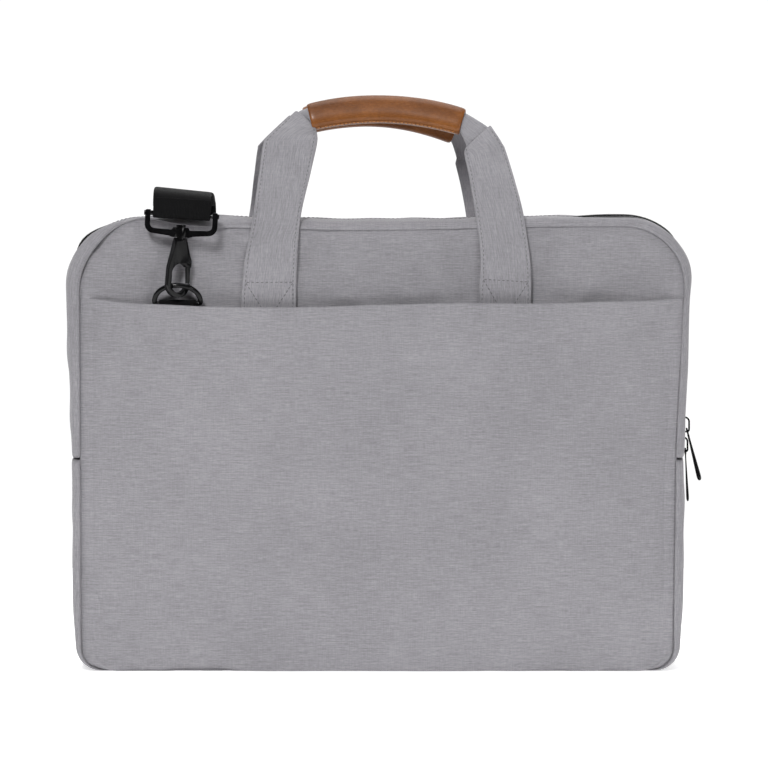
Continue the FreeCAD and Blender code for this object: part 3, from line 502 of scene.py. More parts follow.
def stitches(name, rows, material, pitch=0.0030, length=0.0022, radius=0.00030):
    """Rows of single stitches; each row is a line of points and the outward direction on it."""
    template = []
    stations, sides = (-0.5, -0.3, 0.0, 0.3, 0.5), 6
    for t in stations:
        swell = math.sqrt(max(0.0, 1 - (2 * t) ** 2)) * 0.75 + 0.25
        for k in range(sides):
            turn = 2 * math.pi * k / sides
            template.append((t * length, math.cos(turn) * radius * swell,
                             math.sin(turn) * radius * swell - 3.2 * radius * t * t + 0.3 * radius))
    template, template_faces = np.array(template), bar_faces(len(stations), sides)
    verts, faces = [], []
    for line, outward in rows:
        line = np.asarray(line, float)
        outward = np.broadcast_to(np.asarray(outward, float), line.shape)
        steps = distances(line)
        count = int(steps[-1] / pitch)
        for place in (np.arange(count) + 0.5) * steps[-1] / max(count, 1):
            at, ahead, behind = (along_line(place + d, steps, line) for d in (0, pitch / 3, -pitch / 3))
            up = along_line(place, steps, outward)
            run = ahead - behind
            run /= np.linalg.norm(run)
            up = up - run * up.dot(run)
            up /= np.linalg.norm(up)
            side = np.cross(up, run)
            first = len(verts) * len(template)
            verts.append(at + template @ np.array([run, side, up]))
            faces += [[first + i for i in face] for face in template_faces]
    return mesh_piece(name, np.concatenate(verts), faces, [material])


def soften(node, width, body):
    """A metal node's own shape with its edges rounded over, in place of the node."""
    mesh = frame["nodes"][node].data.copy()
    mesh.materials.clear()
    mesh.materials.append(METAL)
    work = bmesh.new()
    work.from_mesh(mesh)
    bmesh.ops.remove_doubles(work, verts=work.verts, dist=1e-6)
    bmesh.ops.dissolve_limit(work, angle_limit=math.radians(2), verts=work.verts, edges=work.edges)
    work.to_mesh(mesh)
    work.free()
    mesh.polygons.foreach_set("use_smooth", [True] * len(mesh.polygons))
    piece = bpy.data.objects.new("round_" + node, mesh)
    SCENE.collection.objects.link(piece)
    bevel = piece.modifiers.new("edges", "BEVEL")
    bevel.width = width
    bevel.segments = 3
    bevel.limit_method = "ANGLE"
    bevel.angle_limit = math.radians(38)
    bevel.harden_normals = True
    return dress(piece, node_slot(node), body, node)


# ---------------------------------------------------------------- shoulder strap

STRAP_ROUTE = [
    (-131.5, -50.5, 309.2), (-131.5, -51.5, 317), (-131.5, -43, 323), (-131.5, -12, 323.5),
    (-131.5, 34, 319), (-131.5, 54, 303), (-131.5, 58, 250), (-131.5, 62, 180), (-131.5, 70, 152),
    (-131.5, 70, 106), (-79, 70, 35), (6, 70, 9.5), (88, 70, 39), (135.5, 70, 107), (135.5, 70, 152),
    (135.5, 50.5, 181.9),
]
STRAP_WIDTH = 0.038
LAYER = 0.0013
STRAP_SINK = 0.0042
CLASP_BARS = {"front": (-0.1317, -0.0505, 0.3014), "rear": (0.1355, 0.0505, 0.1886)}


def spline_points(route):
    """Points on the smooth NURBS line that has a route, in millimetres, as its control points."""
    curve = bpy.data.curves.new("route", "CURVE")
    curve.dimensions = "3D"
    curve.resolution_u = 16
    spline = curve.splines.new("NURBS")
    spline.points.add(len(route) - 1)
    for point, place in zip(spline.points, route):
        point.co = (*[value / 1000 for value in place], 1)
    spline.order_u = 3
    spline.use_endpoint_u = True
    holder = bpy.data.objects.new("route", curve)
    SCENE.collection.objects.link(holder)
    mesh = bpy.data.meshes.new_from_object(holder)
    points = np.array([vertex.co for vertex in mesh.vertices])
    bpy.data.objects.remove(holder)
    bpy.data.meshes.remove(mesh)
    return points


def strap_layer(line, wide):
    return sweep(line, STRAP_WIDTH, LAYER, wide, columns=11, furrow=0.12, furrow_at=0.9)


def shoulder_strap():
    """Doubled webbing that lies over the bag's top and hangs in a loop behind it, edge-on."""
    line = spline_points(STRAP_ROUTE)
    line[:, 2] -= STRAP_SINK * smoothstep(0.309, 0.316, line[:, 2])
    y, z = line[:, 1], line[:, 2]
    steps = distances(line)
    down = steps[np.nonzero((y > 0.05) & (z < 0.19))[0][0]]
    lowest = steps[np.argmin(z)]
    up_again = steps[np.nonzero((steps > lowest) & (z > 0.14))[0][0]]
    turn = smoothstep(down, down + 0.055, steps) - smoothstep(up_again, steps[-1] - 0.004, steps)
    angle = turn * math.pi / 2
    tilt = math.radians(6) * smoothstep(0.060, -0.030, y) * smoothstep(0.29, 0.30, z)
    wide = np.stack([np.cos(angle), np.sin(angle), -np.tan(tilt)], 1)
    normal = np.cross(np.gradient(line, axis=0), wide)
    normal /= np.linalg.norm(normal, axis=1)[:, None]
    apart = normal * (LAYER / 2 + 0.00012)
    layers = [strap_layer(line + apart, wide), strap_layer(line - apart, wide)]
    strap = join_lofts("shoulder_strap_webbing", layers, BLACK_WEB)
    dress(strap, "black_webbing", None, "shoulder_strap")
    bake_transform(strap)
    return strap, line


def strap_fold(end):
    """The webbing's fold round a clasp's bar, with its stitched end."""
    up, radius, tail = -SIGN[end], 0.0026, 0.0105
    arc = [(math.cos(a) * radius, -up * math.sin(a) * radius) for a in np.linspace(0, math.pi, 13)]
    front = [(radius * 0.5, up * tail), (radius * 0.8, up * tail * 0.5), (radius, up * 0.0015)]
    back = [(-y, z) for y, z in front[::-1]]
    path = curve_through([(0, y, z) for y, z in front + arc + back], 40)
    turn = np.array(Matrix.Rotation(math.radians(3.5) if end == "front" else 0.0, 3, "Y"))
    middle = np.array(CLASP_BARS[end]) + turn @ (0, 0, up * 0.0027)
    layer = strap_layer(path @ turn.T + middle, turn @ ACROSS)
    piece = join_lofts(f"strap_fold_{end}", [layer], BLACK_WEB)
    return dress(piece, "black_webbing", FACE_BODY[end], f"strap_end_{end}")


def tube_data(points, radius, closed, first=0):
    """Points and faces of a round bar along a line of points."""
    points, sides = np.array(points, float), 10
    ahead = np.roll(points, -1, 0) - np.roll(points, 1, 0)
    if not closed:
        ahead[0], ahead[-1] = points[1] - points[0], points[-1] - points[-2]
    ahead /= np.linalg.norm(ahead, axis=1)[:, None]
    plane = np.linalg.svd(points - points.mean(0))[2][2]
    verts = []
    for point, run in zip(points, ahead):
        side = np.cross(run, plane)
        side /= np.linalg.norm(side)
        up = np.cross(side, run)
        verts += [point + radius * (math.cos(a) * side + math.sin(a) * up)
                  for a in 2 * math.pi * np.arange(sides) / sides]
    faces = bar_faces(len(points), sides, first)
    if closed:
        last = first + (len(points) - 1) * sides
        faces[-2:] = [[last + k, last + (k + 1) % sides, first + (k + 1) % sides, first + k]
                      for k in range(sides)]
    return verts, faces


def tubes(name, runs, material):
    """One piece from several round bars; each run is (points, radius, closed)."""
    verts, faces = [], []
    for run in runs:
        part, part_faces = tube_data(*run, first=len(verts))
        verts += part
        faces += part_faces
    return mesh_piece(name, verts, faces, [material], subdivide=1)


def strap_adjuster(line):
    """Slider that sets the strap's length: a flat metal frame with a middle bar, threaded."""
    low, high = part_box("strap_adjuster")
    middle = (low + high) / 2
    half_x, half_z, wire, corner = 0.0238, 0.0115, 0.0017, 0.004
    y = line[np.argmin(np.abs(line[:, 2] - middle.z) + (line[:, 1] < 0.03)), 1]
    ring = []
    for i, (side_x, side_z) in enumerate(((1, 1), (-1, 1), (-1, -1), (1, -1))):
        for a in np.linspace(0, math.pi / 2, 6) + i * math.pi / 2:
            ring.append((middle.x + side_x * (half_x - corner) + math.cos(a) * corner, y,
                         middle.z + side_z * (half_z - corner) + math.sin(a) * corner))
    bar = [(middle.x + x, y + 0.0034, middle.z + 0.0002 * x * x) for x in np.linspace(-half_x, half_x, 9)]
    piece = tubes("strap_slider_frame", [(ring, wire, True), (bar, wire * 0.9, False)], METAL)
    return dress(piece, "dark_metal", "bag", "strap_adjuster")


def strap_stitches(line):
    """Two rows of stitches beside the edges of the webbing's front end."""
    rows = [(line[:14] + (x, -0.0016, 0), (0, -1, 0.3)) for x in (-0.014, 0.014)]
    dress(stitches("strap_end_stitches", rows, BLACK_THREAD), "black_webbing", "front_flap")


strap, strap_line = shoulder_strap()
front_fold, rear_fold = strap_fold("front"), strap_fold("rear")
adjuster = strap_adjuster(strap_line)
strap_stitches(strap_line)


# ---------------------------------------------------------------- the bag's outline

def outline_run(part, spacing=0.0035):
    """Points, outward normals and distances along the upper or lower part of the bag's outline."""
    x, z, r, b = HALF, TOP, TOP_RADIUS, BOTTOM_RADIUS
    if part == "upper":
        pieces = [((x, SPLIT), (x, z - r)), ((x - r, z - r), r, 0), ((x - r, z), (r - x, z)),
                  ((r - x, z - r), r, 90), ((-x, z - r), (-x, SPLIT))]
    else:
        pieces = [((-x, SPLIT), (-x, b)), ((b - x, b), b, 180), ((b - x, 0), (x - b, 0)),
                  ((x - b, b), b, 270), ((x, b), (x, SPLIT))]
    points, normals = [], []
    for piece in pieces:
        if len(piece) == 2:
            start, end = np.array(piece)
            run = end - start
            length = np.linalg.norm(run)
            shares = np.linspace(0, 1, max(2, int(length / spacing)), endpoint=False)
            points += [start + run * t for t in shares]
            normals += [np.array([run[1], -run[0]]) / length] * len(shares)
        else:
            centre, radius, first = piece
            turns = np.linspace(first, first + 90, max(10, int(radius / 0.0022)), endpoint=False)
            rays = [np.array([math.cos(a), math.sin(a)]) for a in np.radians(turns)]
            points += [centre + ray * radius for ray in rays]
            normals += rays
    points, normals = np.array(points + [pieces[-1][1]]), np.array(normals + normals[-1:])
    return points, normals, distances(points)


def eased_along(z, table):
    """Smoothly varying distance at a height, from (height, distance) pairs."""
    heights, reaches = zip(*table)
    return sum(np.interp(z + d, heights, reaches) for d in (-0.012, -0.006, 0, 0.006, 0.012)) / 5


def settle(x, z, band):
    """Moves a point of the plain outline to where the filled bag holds it.

    band is 1 on the band's own outline and 0 on the seam of a face.
    """
    left = band * eased_along(z, BAND_LEFT)
    right = band * eased_along(z, BAND_RIGHT) + (1 - band) * eased_along(z, SEAM_RIGHT)
    share = np.asarray(x) / HALF
    shift = np.where(share > 0, right, -left) * smoothstep(0.15, 1.0, np.abs(share))
    high = smoothstep(0.62, 1.0, z / TOP)
    sag = 0.0005 * bell(x, 0.05, 0.145) - 0.0021 * bell(x, 0.075, -0.010) - 0.0014 * bell(x, 0.018, -0.166)
    corner = 0.0072 * (1 - band) * bell(x, 0.024, -0.160) * smoothstep(0.272, 0.292, z)
    return x + shift, z + sag * high + corner


def seam_point(x, z, nx, nz):
    """The place on a face's seam that belongs to a point of the outline with a normal."""
    if z > TOP / 2:
        radius, outer_radius, middle_z = FACE_TOP_RADIUS, TOP_RADIUS, STRAIGHT_HIGH
    else:
        radius, outer_radius, middle_z = FACE_LOW_RADIUS, BOTTOM_RADIUS, STRAIGHT_LOW
    middle_x = FACE_HALF - radius
    if abs(nz) < 1e-6:
        heights = (BOTTOM_RADIUS, SPLIT, TOP - TOP_RADIUS)
        return nx * FACE_HALF, np.interp(z, heights, (STRAIGHT_LOW, SPLIT, STRAIGHT_HIGH))
    if abs(nx) < 1e-6:
        return x * middle_x / (HALF - outer_radius), middle_z + nz * radius
    return math.copysign(middle_x, x) + nx * radius, middle_z + nz * radius


def seam_depth(x, z):
    """How far out from the bag's middle a face's seam lies: deep in the corners, soft on the top."""
    low_side = 0.55 + 0.45 * np.sin(31 * z + 2.2) * np.cos(17 * z)
    side = np.where(np.asarray(x) > 0, low_side, 0.95)
    top = smoothstep(0.284, 0.2925, z) * smoothstep(0.182, 0.160, np.abs(x))
    return SEAM_OUT + 0.0031 * (1 - side * (1 - 0.87 * top))


def zip_pout(x, z):
    """Where the zip bends up out of the band and its black shows from in front, from 0 to 1."""
    right = smoothstep(0.105, 0.150, x) * smoothstep(0.202, 0.186, x) * smoothstep(0.270, 0.288, z)
    left = 1.4 * bell(z, 0.010, 0.286) * smoothstep(-0.160, -0.180, x)
    middle = 0.35 * bell(x, 0.016, 0.050) * smoothstep(0.285, 0.300, z)
    return right + left + middle


def zip_dip(x, z, front):
    """How far the band's zip edge drops where the zip stands up out of it."""
    strip = bell(x, 0.009, -0.176) * smoothstep(0.270, 0.285, z)
    return 0.0026 * zip_pout(x, z) + (0.0022 * strip if front else 0.0)


# A band's turned edge on each side, as (distance from the bag's middle, share of the way to the seam).
EDGE_ROUND = [(SEAM_OUT, 1.0), (0.0384, 0.93), (0.0396, 0.76), (0.0394, 0.50), (0.0380, 0.22), (0.0355, 0.04)]


def around(points, normals, profile, steps, rounds, lining, seed, reach):
    """Rings of a band round the outline, whose ends reach a little past the split.

    The profile's columns are (out, inset) pairs, with out along Y; in the columns of rounds the
    second number is a share of the way to the face's seam instead.
    """
    loops = []
    total = steps[-1]
    for (x, z), (nx, nz), step in zip(points, normals, steps):
        seam_x, seam_z = seam_point(x, z, nx, nz)
        near_end = min(step, total - step)
        tuck = 0.0004 * bell(near_end, 0.0008)
        if near_end < 1e-9:
            z, seam_z = z + reach, seam_z + reach
        ring = []
        for i, (out, inset) in enumerate(profile):
            if i in rounds:
                lift = float(seam_depth(seam_x, seam_z)) - SEAM_OUT
                place = math.copysign(abs(out) + lift * smoothstep(0.6, 1.0, inset), out)
                px, pz = x + (seam_x - x) * inset, z + (seam_z - z) * inset
                px, pz = settle(px, pz, 1 - inset)
                ring.append((px - nx * tuck, place, pz - nz * tuck))
                continue
            soft = 1.0 if i < lining else 0.3
            wave = 0.0006 * undulation(step, out * 2, seed, 0.05) * soft
            edge = smoothstep(0.036, 0.024, abs(out))
            depth = inset + tuck * soft + wave + float(zip_dip(x, z, out < 0)) * float(edge)
            px, pz = settle(x, z, 1.0)
            ring.append((px - nx * depth, out, pz - nz * depth))
        loops.append(ring)
    return np.array(loops)


def gussets():
    """The band round the bag: one piece below, and two halves with the zip between them above."""
    flat = [(0.031, -0.0002), (0.025, -0.0005), (0.018, -0.0006), (0.012, -0.0004)]
    zip_edge = [(0.0085, -0.0001), (0.0068, 0.0003), (0.0061, 0.0010), (0.0066, 0.0021)]
    outside = EDGE_ROUND + flat + zip_edge
    inner = [(0.010, 0.0034), (0.018, 0.0046), (0.028, 0.0048), (0.0345, 0.0050)]
    points, normals, steps = outline_run("upper")
    for (end, side), seed in zip(SIGN.items(), (3, 4)):
        profile = [(side * out, inset) for out, inset in outside + inner]
        loops = around(points, normals, profile, steps, range(len(EDGE_ROUND)), len(outside), seed, -0.0007)
        columns = [0] * len(outside) + [1] * len(inner)
        piece = loft(f"{end}_zip_band", loops, [GREY, LINING], columns)
        line = loops[2:-2, len(outside) - 5] + (0, side * 0.0005, 0)
        facing = np.insert(normals[2:-2], 1, 0, axis=1)
        seam = stitches(f"{end}_zip_stitches", [(line, facing)], GREY_THREAD)
        dress(piece, "gusset_fabric", FOLD_BODY[end], f"{end}_zip_gusset")
        dress(seam, "gusset_fabric", FOLD_BODY[end])
    points, normals, steps = outline_run("lower")
    half = EDGE_ROUND + flat + [(0.006, -0.0002), (0.0, 0.0)]
    profile = [(-out, inset) for out, inset in half] + half[-2::-1]
    outer = len(profile)
    back = [(0.0345, 0.0050), (0.018, 0.0046), (0.0, 0.0046)]
    profile += back + [(-out, inset) for out, inset in back[-2::-1]]
    rounds = [*range(len(EDGE_ROUND)), *range(outer - len(EDGE_ROUND), outer)]
    loops = around(points, normals, profile, steps, rounds, outer, 5, 0.0005)
    loops[:, :, 2] = np.maximum(loops[:, :, 2], 0.0)
    columns = [0] * outer + [1] * (len(profile) - outer)
    piece = loft("lower_band", loops, [GREY, LINING], columns)
    dress(piece, "gusset_fabric", "bag", "lower_gusset", "gusset_lining")


gussets()


# ---------------------------------------------------------------- zip over the top

COIL_DEPTH = 0.0016


def zip_teeth(points, normals, steps, side, pitch, spread=1.0):
    """Turns of one side of a coil zip: short rounded bars with a swollen end that meshes."""
    template = []
    stations = ((-0.0005, 0.5), (0.0001, 0.95), (0.0010, 0.75), (0.0026, 0.7), (0.0033, 0.35))
    sides = 6
    for reach, swell in stations:
        for k in range(sides):
            turn = 2 * math.pi * (k + 0.5) / sides
            template.append((math.cos(turn) * 0.00052 * swell, reach, math.sin(turn) * 0.00085 * swell))
    template, template_faces = np.array(template), bar_faces(len(stations), sides)
    verts, faces = [], []
    for i in range(int(steps[-1] / pitch)):
        place = (i + (0.25 if side < 0 else 0.75)) * pitch
        normal = along_line(place, steps, normals)
        normal /= np.linalg.norm(normal)
        x, z = along_line(place, steps, points) - normal * COIL_DEPTH
        basis = [[-normal[1], 0, normal[0]], [0, side * spread, 0], [normal[0], 0, normal[1]]]
        verts.append(template @ basis + (x, 0.0, z))
        faces += [[i * len(template) + j for j in face] for face in template_faces]
    return np.concatenate(verts), faces


def main_zip():
    points, normals, steps = outline_run("upper", 0.003)
    pout = 0.0022 * zip_pout(points[:, 0], points[:, 1])
    points = np.stack(settle(points[:, 0], points[:, 1], 1.0), 1) + normals * pout[:, None]
    profile = [(0.0007, 0.0024), (0.0045, 0.0023), (0.008, 0.0030), (0.0155, 0.0050),
               (0.0155, 0.0056), (0.008, 0.0036), (0.0045, 0.0029), (0.0007, 0.0030)]
    for end, side in SIGN.items():
        loops = [[(x - nx * inset, side * out, z - nz * inset) for out, inset in profile]
                 for (x, z), (nx, nz) in zip(points, normals)]
        tape = loft(f"{end}_zip_tape_cloth", loops, [BLACK_TAPE], subdivide=0)
        coil = mesh_piece(f"{end}_zip_teeth", *zip_teeth(points, normals, steps, side, 0.0014), [COIL])
        dress(tape, "zip_tape", FOLD_BODY[end], f"{end}_zip_tape")
        dress(coil, "zip_coil", FOLD_BODY[end], f"{end}_zip_coil")


main_zip()


# ---------------------------------------------------------------- panels

def eased(count, pull=0.62):
    """Numbers from 0 to 1 that lie closer together at both ends."""
    t = np.linspace(0, 1, count)
    return t - pull * np.sin(2 * math.pi * t) / (2 * math.pi)


# How far a face's cloth runs on behind its seam, how strong its dents are, and how deep they go.
TUCKED = 0.0007
DENT_GAIN = 3.9
DEEPEST = 0.0046


def half_width(z):
    """Half the width of a face inside its seam at a height."""
    over = np.clip(z - STRAIGHT_HIGH, 0, FACE_TOP_RADIUS)
    under = np.clip(STRAIGHT_LOW - z, 0, FACE_LOW_RADIUS)
    return (FACE_HALF - FACE_TOP_RADIUS + np.sqrt(np.maximum(FACE_TOP_RADIUS ** 2 - over ** 2, 0))
            - FACE_LOW_RADIUS + np.sqrt(np.maximum(FACE_LOW_RADIUS ** 2 - under ** 2, 0)))


def edge_distance(x, z, top=True):
    """Distance of a face's point from its seam; a sheet with a free top edge leaves the top out."""
    to_side, to_low, to_top = FACE_HALF - np.abs(x), z - LOW_INSET, FACE_TOP - z
    away = np.minimum(to_side, to_low)
    corners = [(FACE_LOW_RADIUS, to_low)]
    if top:
        away = np.minimum(away, to_top)
        corners.append((FACE_TOP_RADIUS, to_top))
    for radius, to_edge in corners:
        dx, dz = radius - to_side, radius - to_edge
        away = np.where((dx > 0) & (dz > 0), np.minimum(away, radius - np.hypot(dx, dz)), away)
    return np.maximum(away, 0)


def panel(name, side, dents, seed, body, *nodes):
    """A padded face of the bag: grey cloth outside, lining inside; side is -1 for the front."""
    z = np.repeat((LOW_INSET + (FACE_TOP - LOW_INSET) * eased(130, 0.8))[:, None], 150, 1)
    x = (half_width(z[:, 0]) + TUCKED)[:, None] * (2 * eased(150) - 1)[None, :]
    away = edge_distance(x, z)
    seam = seam_depth(x, z)
    rise = (FACE + 0.0002 - seam) * (1 - np.exp(-away / 0.0042))
    uneven = 0.0020 * np.abs(undulation(x, z, seed, 0.06)) * smoothstep(0.004, 0.03, away)
    hollow = DEEPEST * np.tanh((DENT_GAIN * creases(x, z, dents) + uneven) / DEEPEST)
    y = side * (seam + rise - hollow)
    inner = side * np.minimum(INSIDE + 0.0004 - 0.0012 * smoothstep(0, 0.012, away), np.abs(y) - 0.0008)
    settled_x, settled_z = settle(x, z + TUCKED * smoothstep(0.290, 0.2952, z), 0.0)
    front, back = (np.stack([settled_x, depth, settled_z], -1) for depth in (y, inner))
    piece = slab(name, front, back, [GREY, LINING])
    dress(piece, "panel_fabric", body, *nodes)


# Pulls in the cloth where the handles and the ring's tab are sewn on, and in the top corners.
FRONT_DENTS = [
    ((-0.100, 0.262), (-0.108, 0.292), 0.006, 0.0016), ((-0.050, 0.262), (-0.036, 0.288), 0.007, 0.0022),
    ((0.058, 0.254), (0.048, 0.284), 0.008, 0.0024), ((0.106, 0.256), (0.118, 0.284), 0.007, 0.0018),
    ((-0.124, 0.272), (-0.098, 0.280), 0.007, 0.0016), ((-0.168, 0.256), (-0.196, 0.268), 0.007, 0.0014),
    ((-0.172, 0.272), (-0.190, 0.284), 0.006, 0.0012), ((0.150, 0.266), (0.186, 0.258), 0.010, 0.0018),
    ((-0.020, 0.282), (0.030, 0.274), 0.007, 0.0012), ((0.000, 0.268), (0.045, 0.262), 0.008, 0.0010),
]


# Pulls beside the handles and in the lower corners of the rear face.
REAR_DENTS = []
for dent_side in (-1, 1):
    REAR_DENTS += [((dent_side * 0.105, 0.240), (dent_side * 0.112, 0.285), 0.006, 0.0014),
                   ((dent_side * 0.125, 0.190), (dent_side * 0.165, 0.200), 0.010, 0.0014),
                   ((dent_side * 0.145, 0.045), (dent_side * 0.182, 0.020), 0.010, 0.0018)]


panel("front_panel", -1, FRONT_DENTS, 11, "fold", "upper_front_panel", "lower_front_panel",
      "upper_front_lining", "lower_front_lining")
panel("rear_panel_cloth", 1, REAR_DENTS, 12, "bag", "rear_panel", "rear_lining")


# ---------------------------------------------------------------- slip pocket

def hem_height(x):
    """The pocket's free edge, with the small waves that its cloth hangs in."""
    knots = [(-0.200, 0.2482), (-0.173, 0.2454), (-0.152, 0.2451), (-0.119, 0.2431), (-0.091, 0.2434),
             (-0.054, 0.2438), (-0.013, 0.2457), (0.047, 0.2467), (0.106, 0.2451), (0.156, 0.2461),
             (0.177, 0.2458), (0.199, 0.2476)]
    places, heights = zip(*knots)
    fine = np.linspace(places[0], places[-1], 80)
    smooth = np.convolve(np.pad(np.interp(fine, places, heights), 3, "edge"), np.ones(7) / 7, "valid")
    return 0.0014 + np.interp(x, fine, smooth)


def settle_cloth(front):
    """Let the pocket's sheet settle between its seams, with a little spare cloth."""
    rows, count = front.shape[:2]
    index, quads = grid_faces(rows, count)
    cloth = mesh_piece("settling", front.reshape(-1, 3), quads.tolist(), [GREY])
    held = cloth.vertex_groups.new(name="held")
    held.add(np.concatenate([index[0], index[:, 0], index[:, -1]]).tolist(), 1.0, "ADD")
    held.add(index[-1, 1:-1].tolist(), 0.25, "ADD")
    sim = cloth.modifiers.new("cloth", "CLOTH")
    for key, value in (("vertex_group_mass", "held"), ("quality", 6), ("mass", 0.25),
                       ("tension_stiffness", 25), ("compression_stiffness", 12), ("shear_stiffness", 8),
                       ("bending_stiffness", 1.2), ("shrink_min", -0.012), ("shrink_max", -0.012)):
        setattr(sim.settings, key, value)
    sim.collision_settings.use_collision = False
    last_frame = 24
    sim.point_cache.frame_start, sim.point_cache.frame_end = 1, last_frame
    for number in range(1, last_frame + 1):
        SCENE.frame_set(number)
    settled = cloth.evaluated_get(bpy.context.evaluated_depsgraph_get())
    moved = np.array([vertex.co for vertex in settled.data.vertices]).reshape(front.shape)
    SCENE.frame_set(1)
    bpy.data.objects.remove(cloth)
    shift = moved - front
    kept_up = 0.94
    shift[..., 2] *= 1 - kept_up * np.linspace(0, 1, rows)[:, None] ** 2
    most = 0.0045
    reach = np.linalg.norm(shift, axis=2, keepdims=True)
    return front + shift * np.minimum(1, most / np.maximum(reach, 1e-9))


POCKET_DENTS = [
    ((0.160, 0.222), (0.192, 0.238), 0.010, 0.0030), ((0.178, 0.200), (0.196, 0.222), 0.009, 0.0018),
    ((-0.188, 0.228), (-0.164, 0.214), 0.009, 0.0014), ((-0.194, 0.052), (-0.186, 0.036), 0.006, 0.0022),
    ((-0.188, 0.030), (-0.176, 0.024), 0.006, 0.0014), ((0.176, 0.014), (0.190, 0.040), 0.007, 0.0018),
]


def slip_pocket():
    """The sheet sewn over the front along its sides and bottom; the top edge is a turned hem."""
    v = eased(92, 0.45)
    nominal = LOW_INSET + (POCKET_TOP - LOW_INSET) * v
    x = half_width(nominal)[:, None] * (2 * eased(150, 0.5) - 1)[None, :]
    z = LOW_INSET + (hem_height(x) - LOW_INSET) * v[:, None]
    away = edge_distance(x, z, top=False)
    seam = seam_depth(x, z) + 0.0006
    roll = 1 - np.exp(-away / 0.0052)
    belly = 0.35 + 0.65 * smoothstep(0, 0.075, away)
    rise = (POCKET_OUT + 0.0006 - seam) * (0.55 * roll + 0.45 * roll * belly)
    y = -(seam + rise - creases(x, z, POCKET_DENTS))
    y += 0.0009 * undulation(x, z, 21, 0.08) * smoothstep(0.002, 0.03, away)
    under_hem = (1 - v[:, None]) * 0.24
    y -= 0.0017 * bell(under_hem, 0.006) * smoothstep(-0.006, 0.006, away)
    settled_x, settled_z = settle(x, z, 0.0)
    front = np.stack([settled_x, y, settled_z], -1)
    front = settle_cloth(front)
    hem = bell(under_hem, 0.004)
    thick = 0.0009 + 0.0011 * smoothstep(0.15, 0.5, hem)
    back = front + np.stack([0 * x, thick * np.ones_like(x), -0.0002 * hem * np.ones_like(x)], -1)
    piece = slab("slip_pocket_sheet", front, back, [GREY, LINING])
    dress(piece, "panel_fabric", "fold", "upper_slip_pocket", "lower_slip_pocket")


slip_pocket()


# ---------------------------------------------------------------- handles

LEAN = {"front": math.radians(22), "rear": math.radians(27)}
FOLD_HEIGHT = 0.305
WEB_OUT = 0.0423
WEB_THICK = 0.0024

# Outer and inner edges of the front handle's two legs, as (x, z); the last pair is the fold line
# where the webbing doubles over and goes into the sleeve.
LEGS = {
    "left": {
        "outer": [(-0.0930, 0.200), (-0.0930, 0.244), (-0.0905, 0.272), (-0.0848, 0.303),
                  (-0.0812, 0.330), (-0.0786, 0.3495), (-0.0758, 0.3548), (-0.0560, 0.3733)],
        "inner": [(-0.0560, 0.200), (-0.0560, 0.244), (-0.0555, 0.272), (-0.0530, 0.303),
                  (-0.0470, 0.330), (-0.0428, 0.3495), (-0.0424, 0.3565), (-0.0440, 0.3620)],
    },
    "right": {
        "outer": [(0.0998, 0.200), (0.0998, 0.244), (0.0990, 0.272), (0.0946, 0.303),
                  (0.0890, 0.326), (0.0832, 0.3455), (0.0800, 0.3520), (0.0728, 0.3632)],
        "inner": [(0.0646, 0.200), (0.0646, 0.244), (0.0659, 0.276), (0.0627, 0.303),
                  (0.0590, 0.326), (0.0557, 0.3420), (0.0553, 0.3445), (0.0560, 0.3475)],
    },
}
GRIPS = {
    "front": [(-0.048, 0.3682), (-0.002, 0.3738), (0.0546, 0.3652)],
    "rear": [(-0.051, 0.3662), (-0.007, 0.3718), (0.0496, 0.3596)],
}


def handle_depth(end, z):
    """How far the handle's middle plane has leaned in over the bag at a height, from its face."""
    bend = 0.026
    start = FOLD_HEIGHT - bend / 2
    leaning = np.where(z < start + bend, (z - start) ** 2 / (2 * bend), z - FOLD_HEIGHT)
    return WEB_OUT - np.where(z < start, 0, leaning) * math.tan(LEAN[end])


def rear_leg(edge, drop):
    """A rear leg's edge: the front one's, moved across, and lower above the bag's top."""
    return [(x - 0.005, z - drop * float(smoothstep(0.300, 0.350, z))) for x, z in edge]


def leg_surface(end, side, count, spread):
    """Points over a leg: rows go up it, and spread goes from its outer edge (-1) to its inner (1)."""
    edges = [LEGS[side]["outer"], LEGS[side]["inner"]]
    if end == "rear":
        edges = [rear_leg(edge, 0.0030 if side == "left" else 0.0070) for edge in edges]
    both = []
    for knots in edges:
        line = curve_through(knots, 400)
        marks = [int(np.argmin(np.hypot(*(line - np.array(knot)).T))) for knot in knots]
        marks[0], marks[-1] = 0, len(line) - 1
        places = np.interp(np.linspace(0, 1, count), np.linspace(0, 1, len(knots)), marks)
        both.append(along_line(places, np.arange(len(line)), line)[:, None])
    spread = np.asarray(spread)[None, :]
    share = (spread[..., None] + 1) / 2
    x, z = np.moveaxis(both[0] * (1 - share) + both[1] * share, -1, 0)
    sewn = 1 - smoothstep(ANCHOR_TOP - 0.001, ANCHOR_TOP + 0.008, z)
    out = handle_depth(end, z) - 0.0008 * sewn
    bow = 0.0016 * bell(z, 0.012, 0.284)
    bow += 0.0022 * undulation(x, z, 41, 0.038) * smoothstep(0.262, 0.290, z)
    curl = 0.0007 * spread ** 2 * smoothstep(0.30, 0.34, z)
    return np.stack([x, SIGN[end] * (out + bow - curl), z], -1)


def leg_normals(grid, end):
    """Normals of a leg's points, turned to look away from the bag."""
    normal = np.cross(np.gradient(grid, axis=0), np.gradient(grid, axis=1))
    normal /= np.linalg.norm(normal, axis=2, keepdims=True)
    return normal * np.sign(normal[..., 1:2] * SIGN[end] + 1e-9)


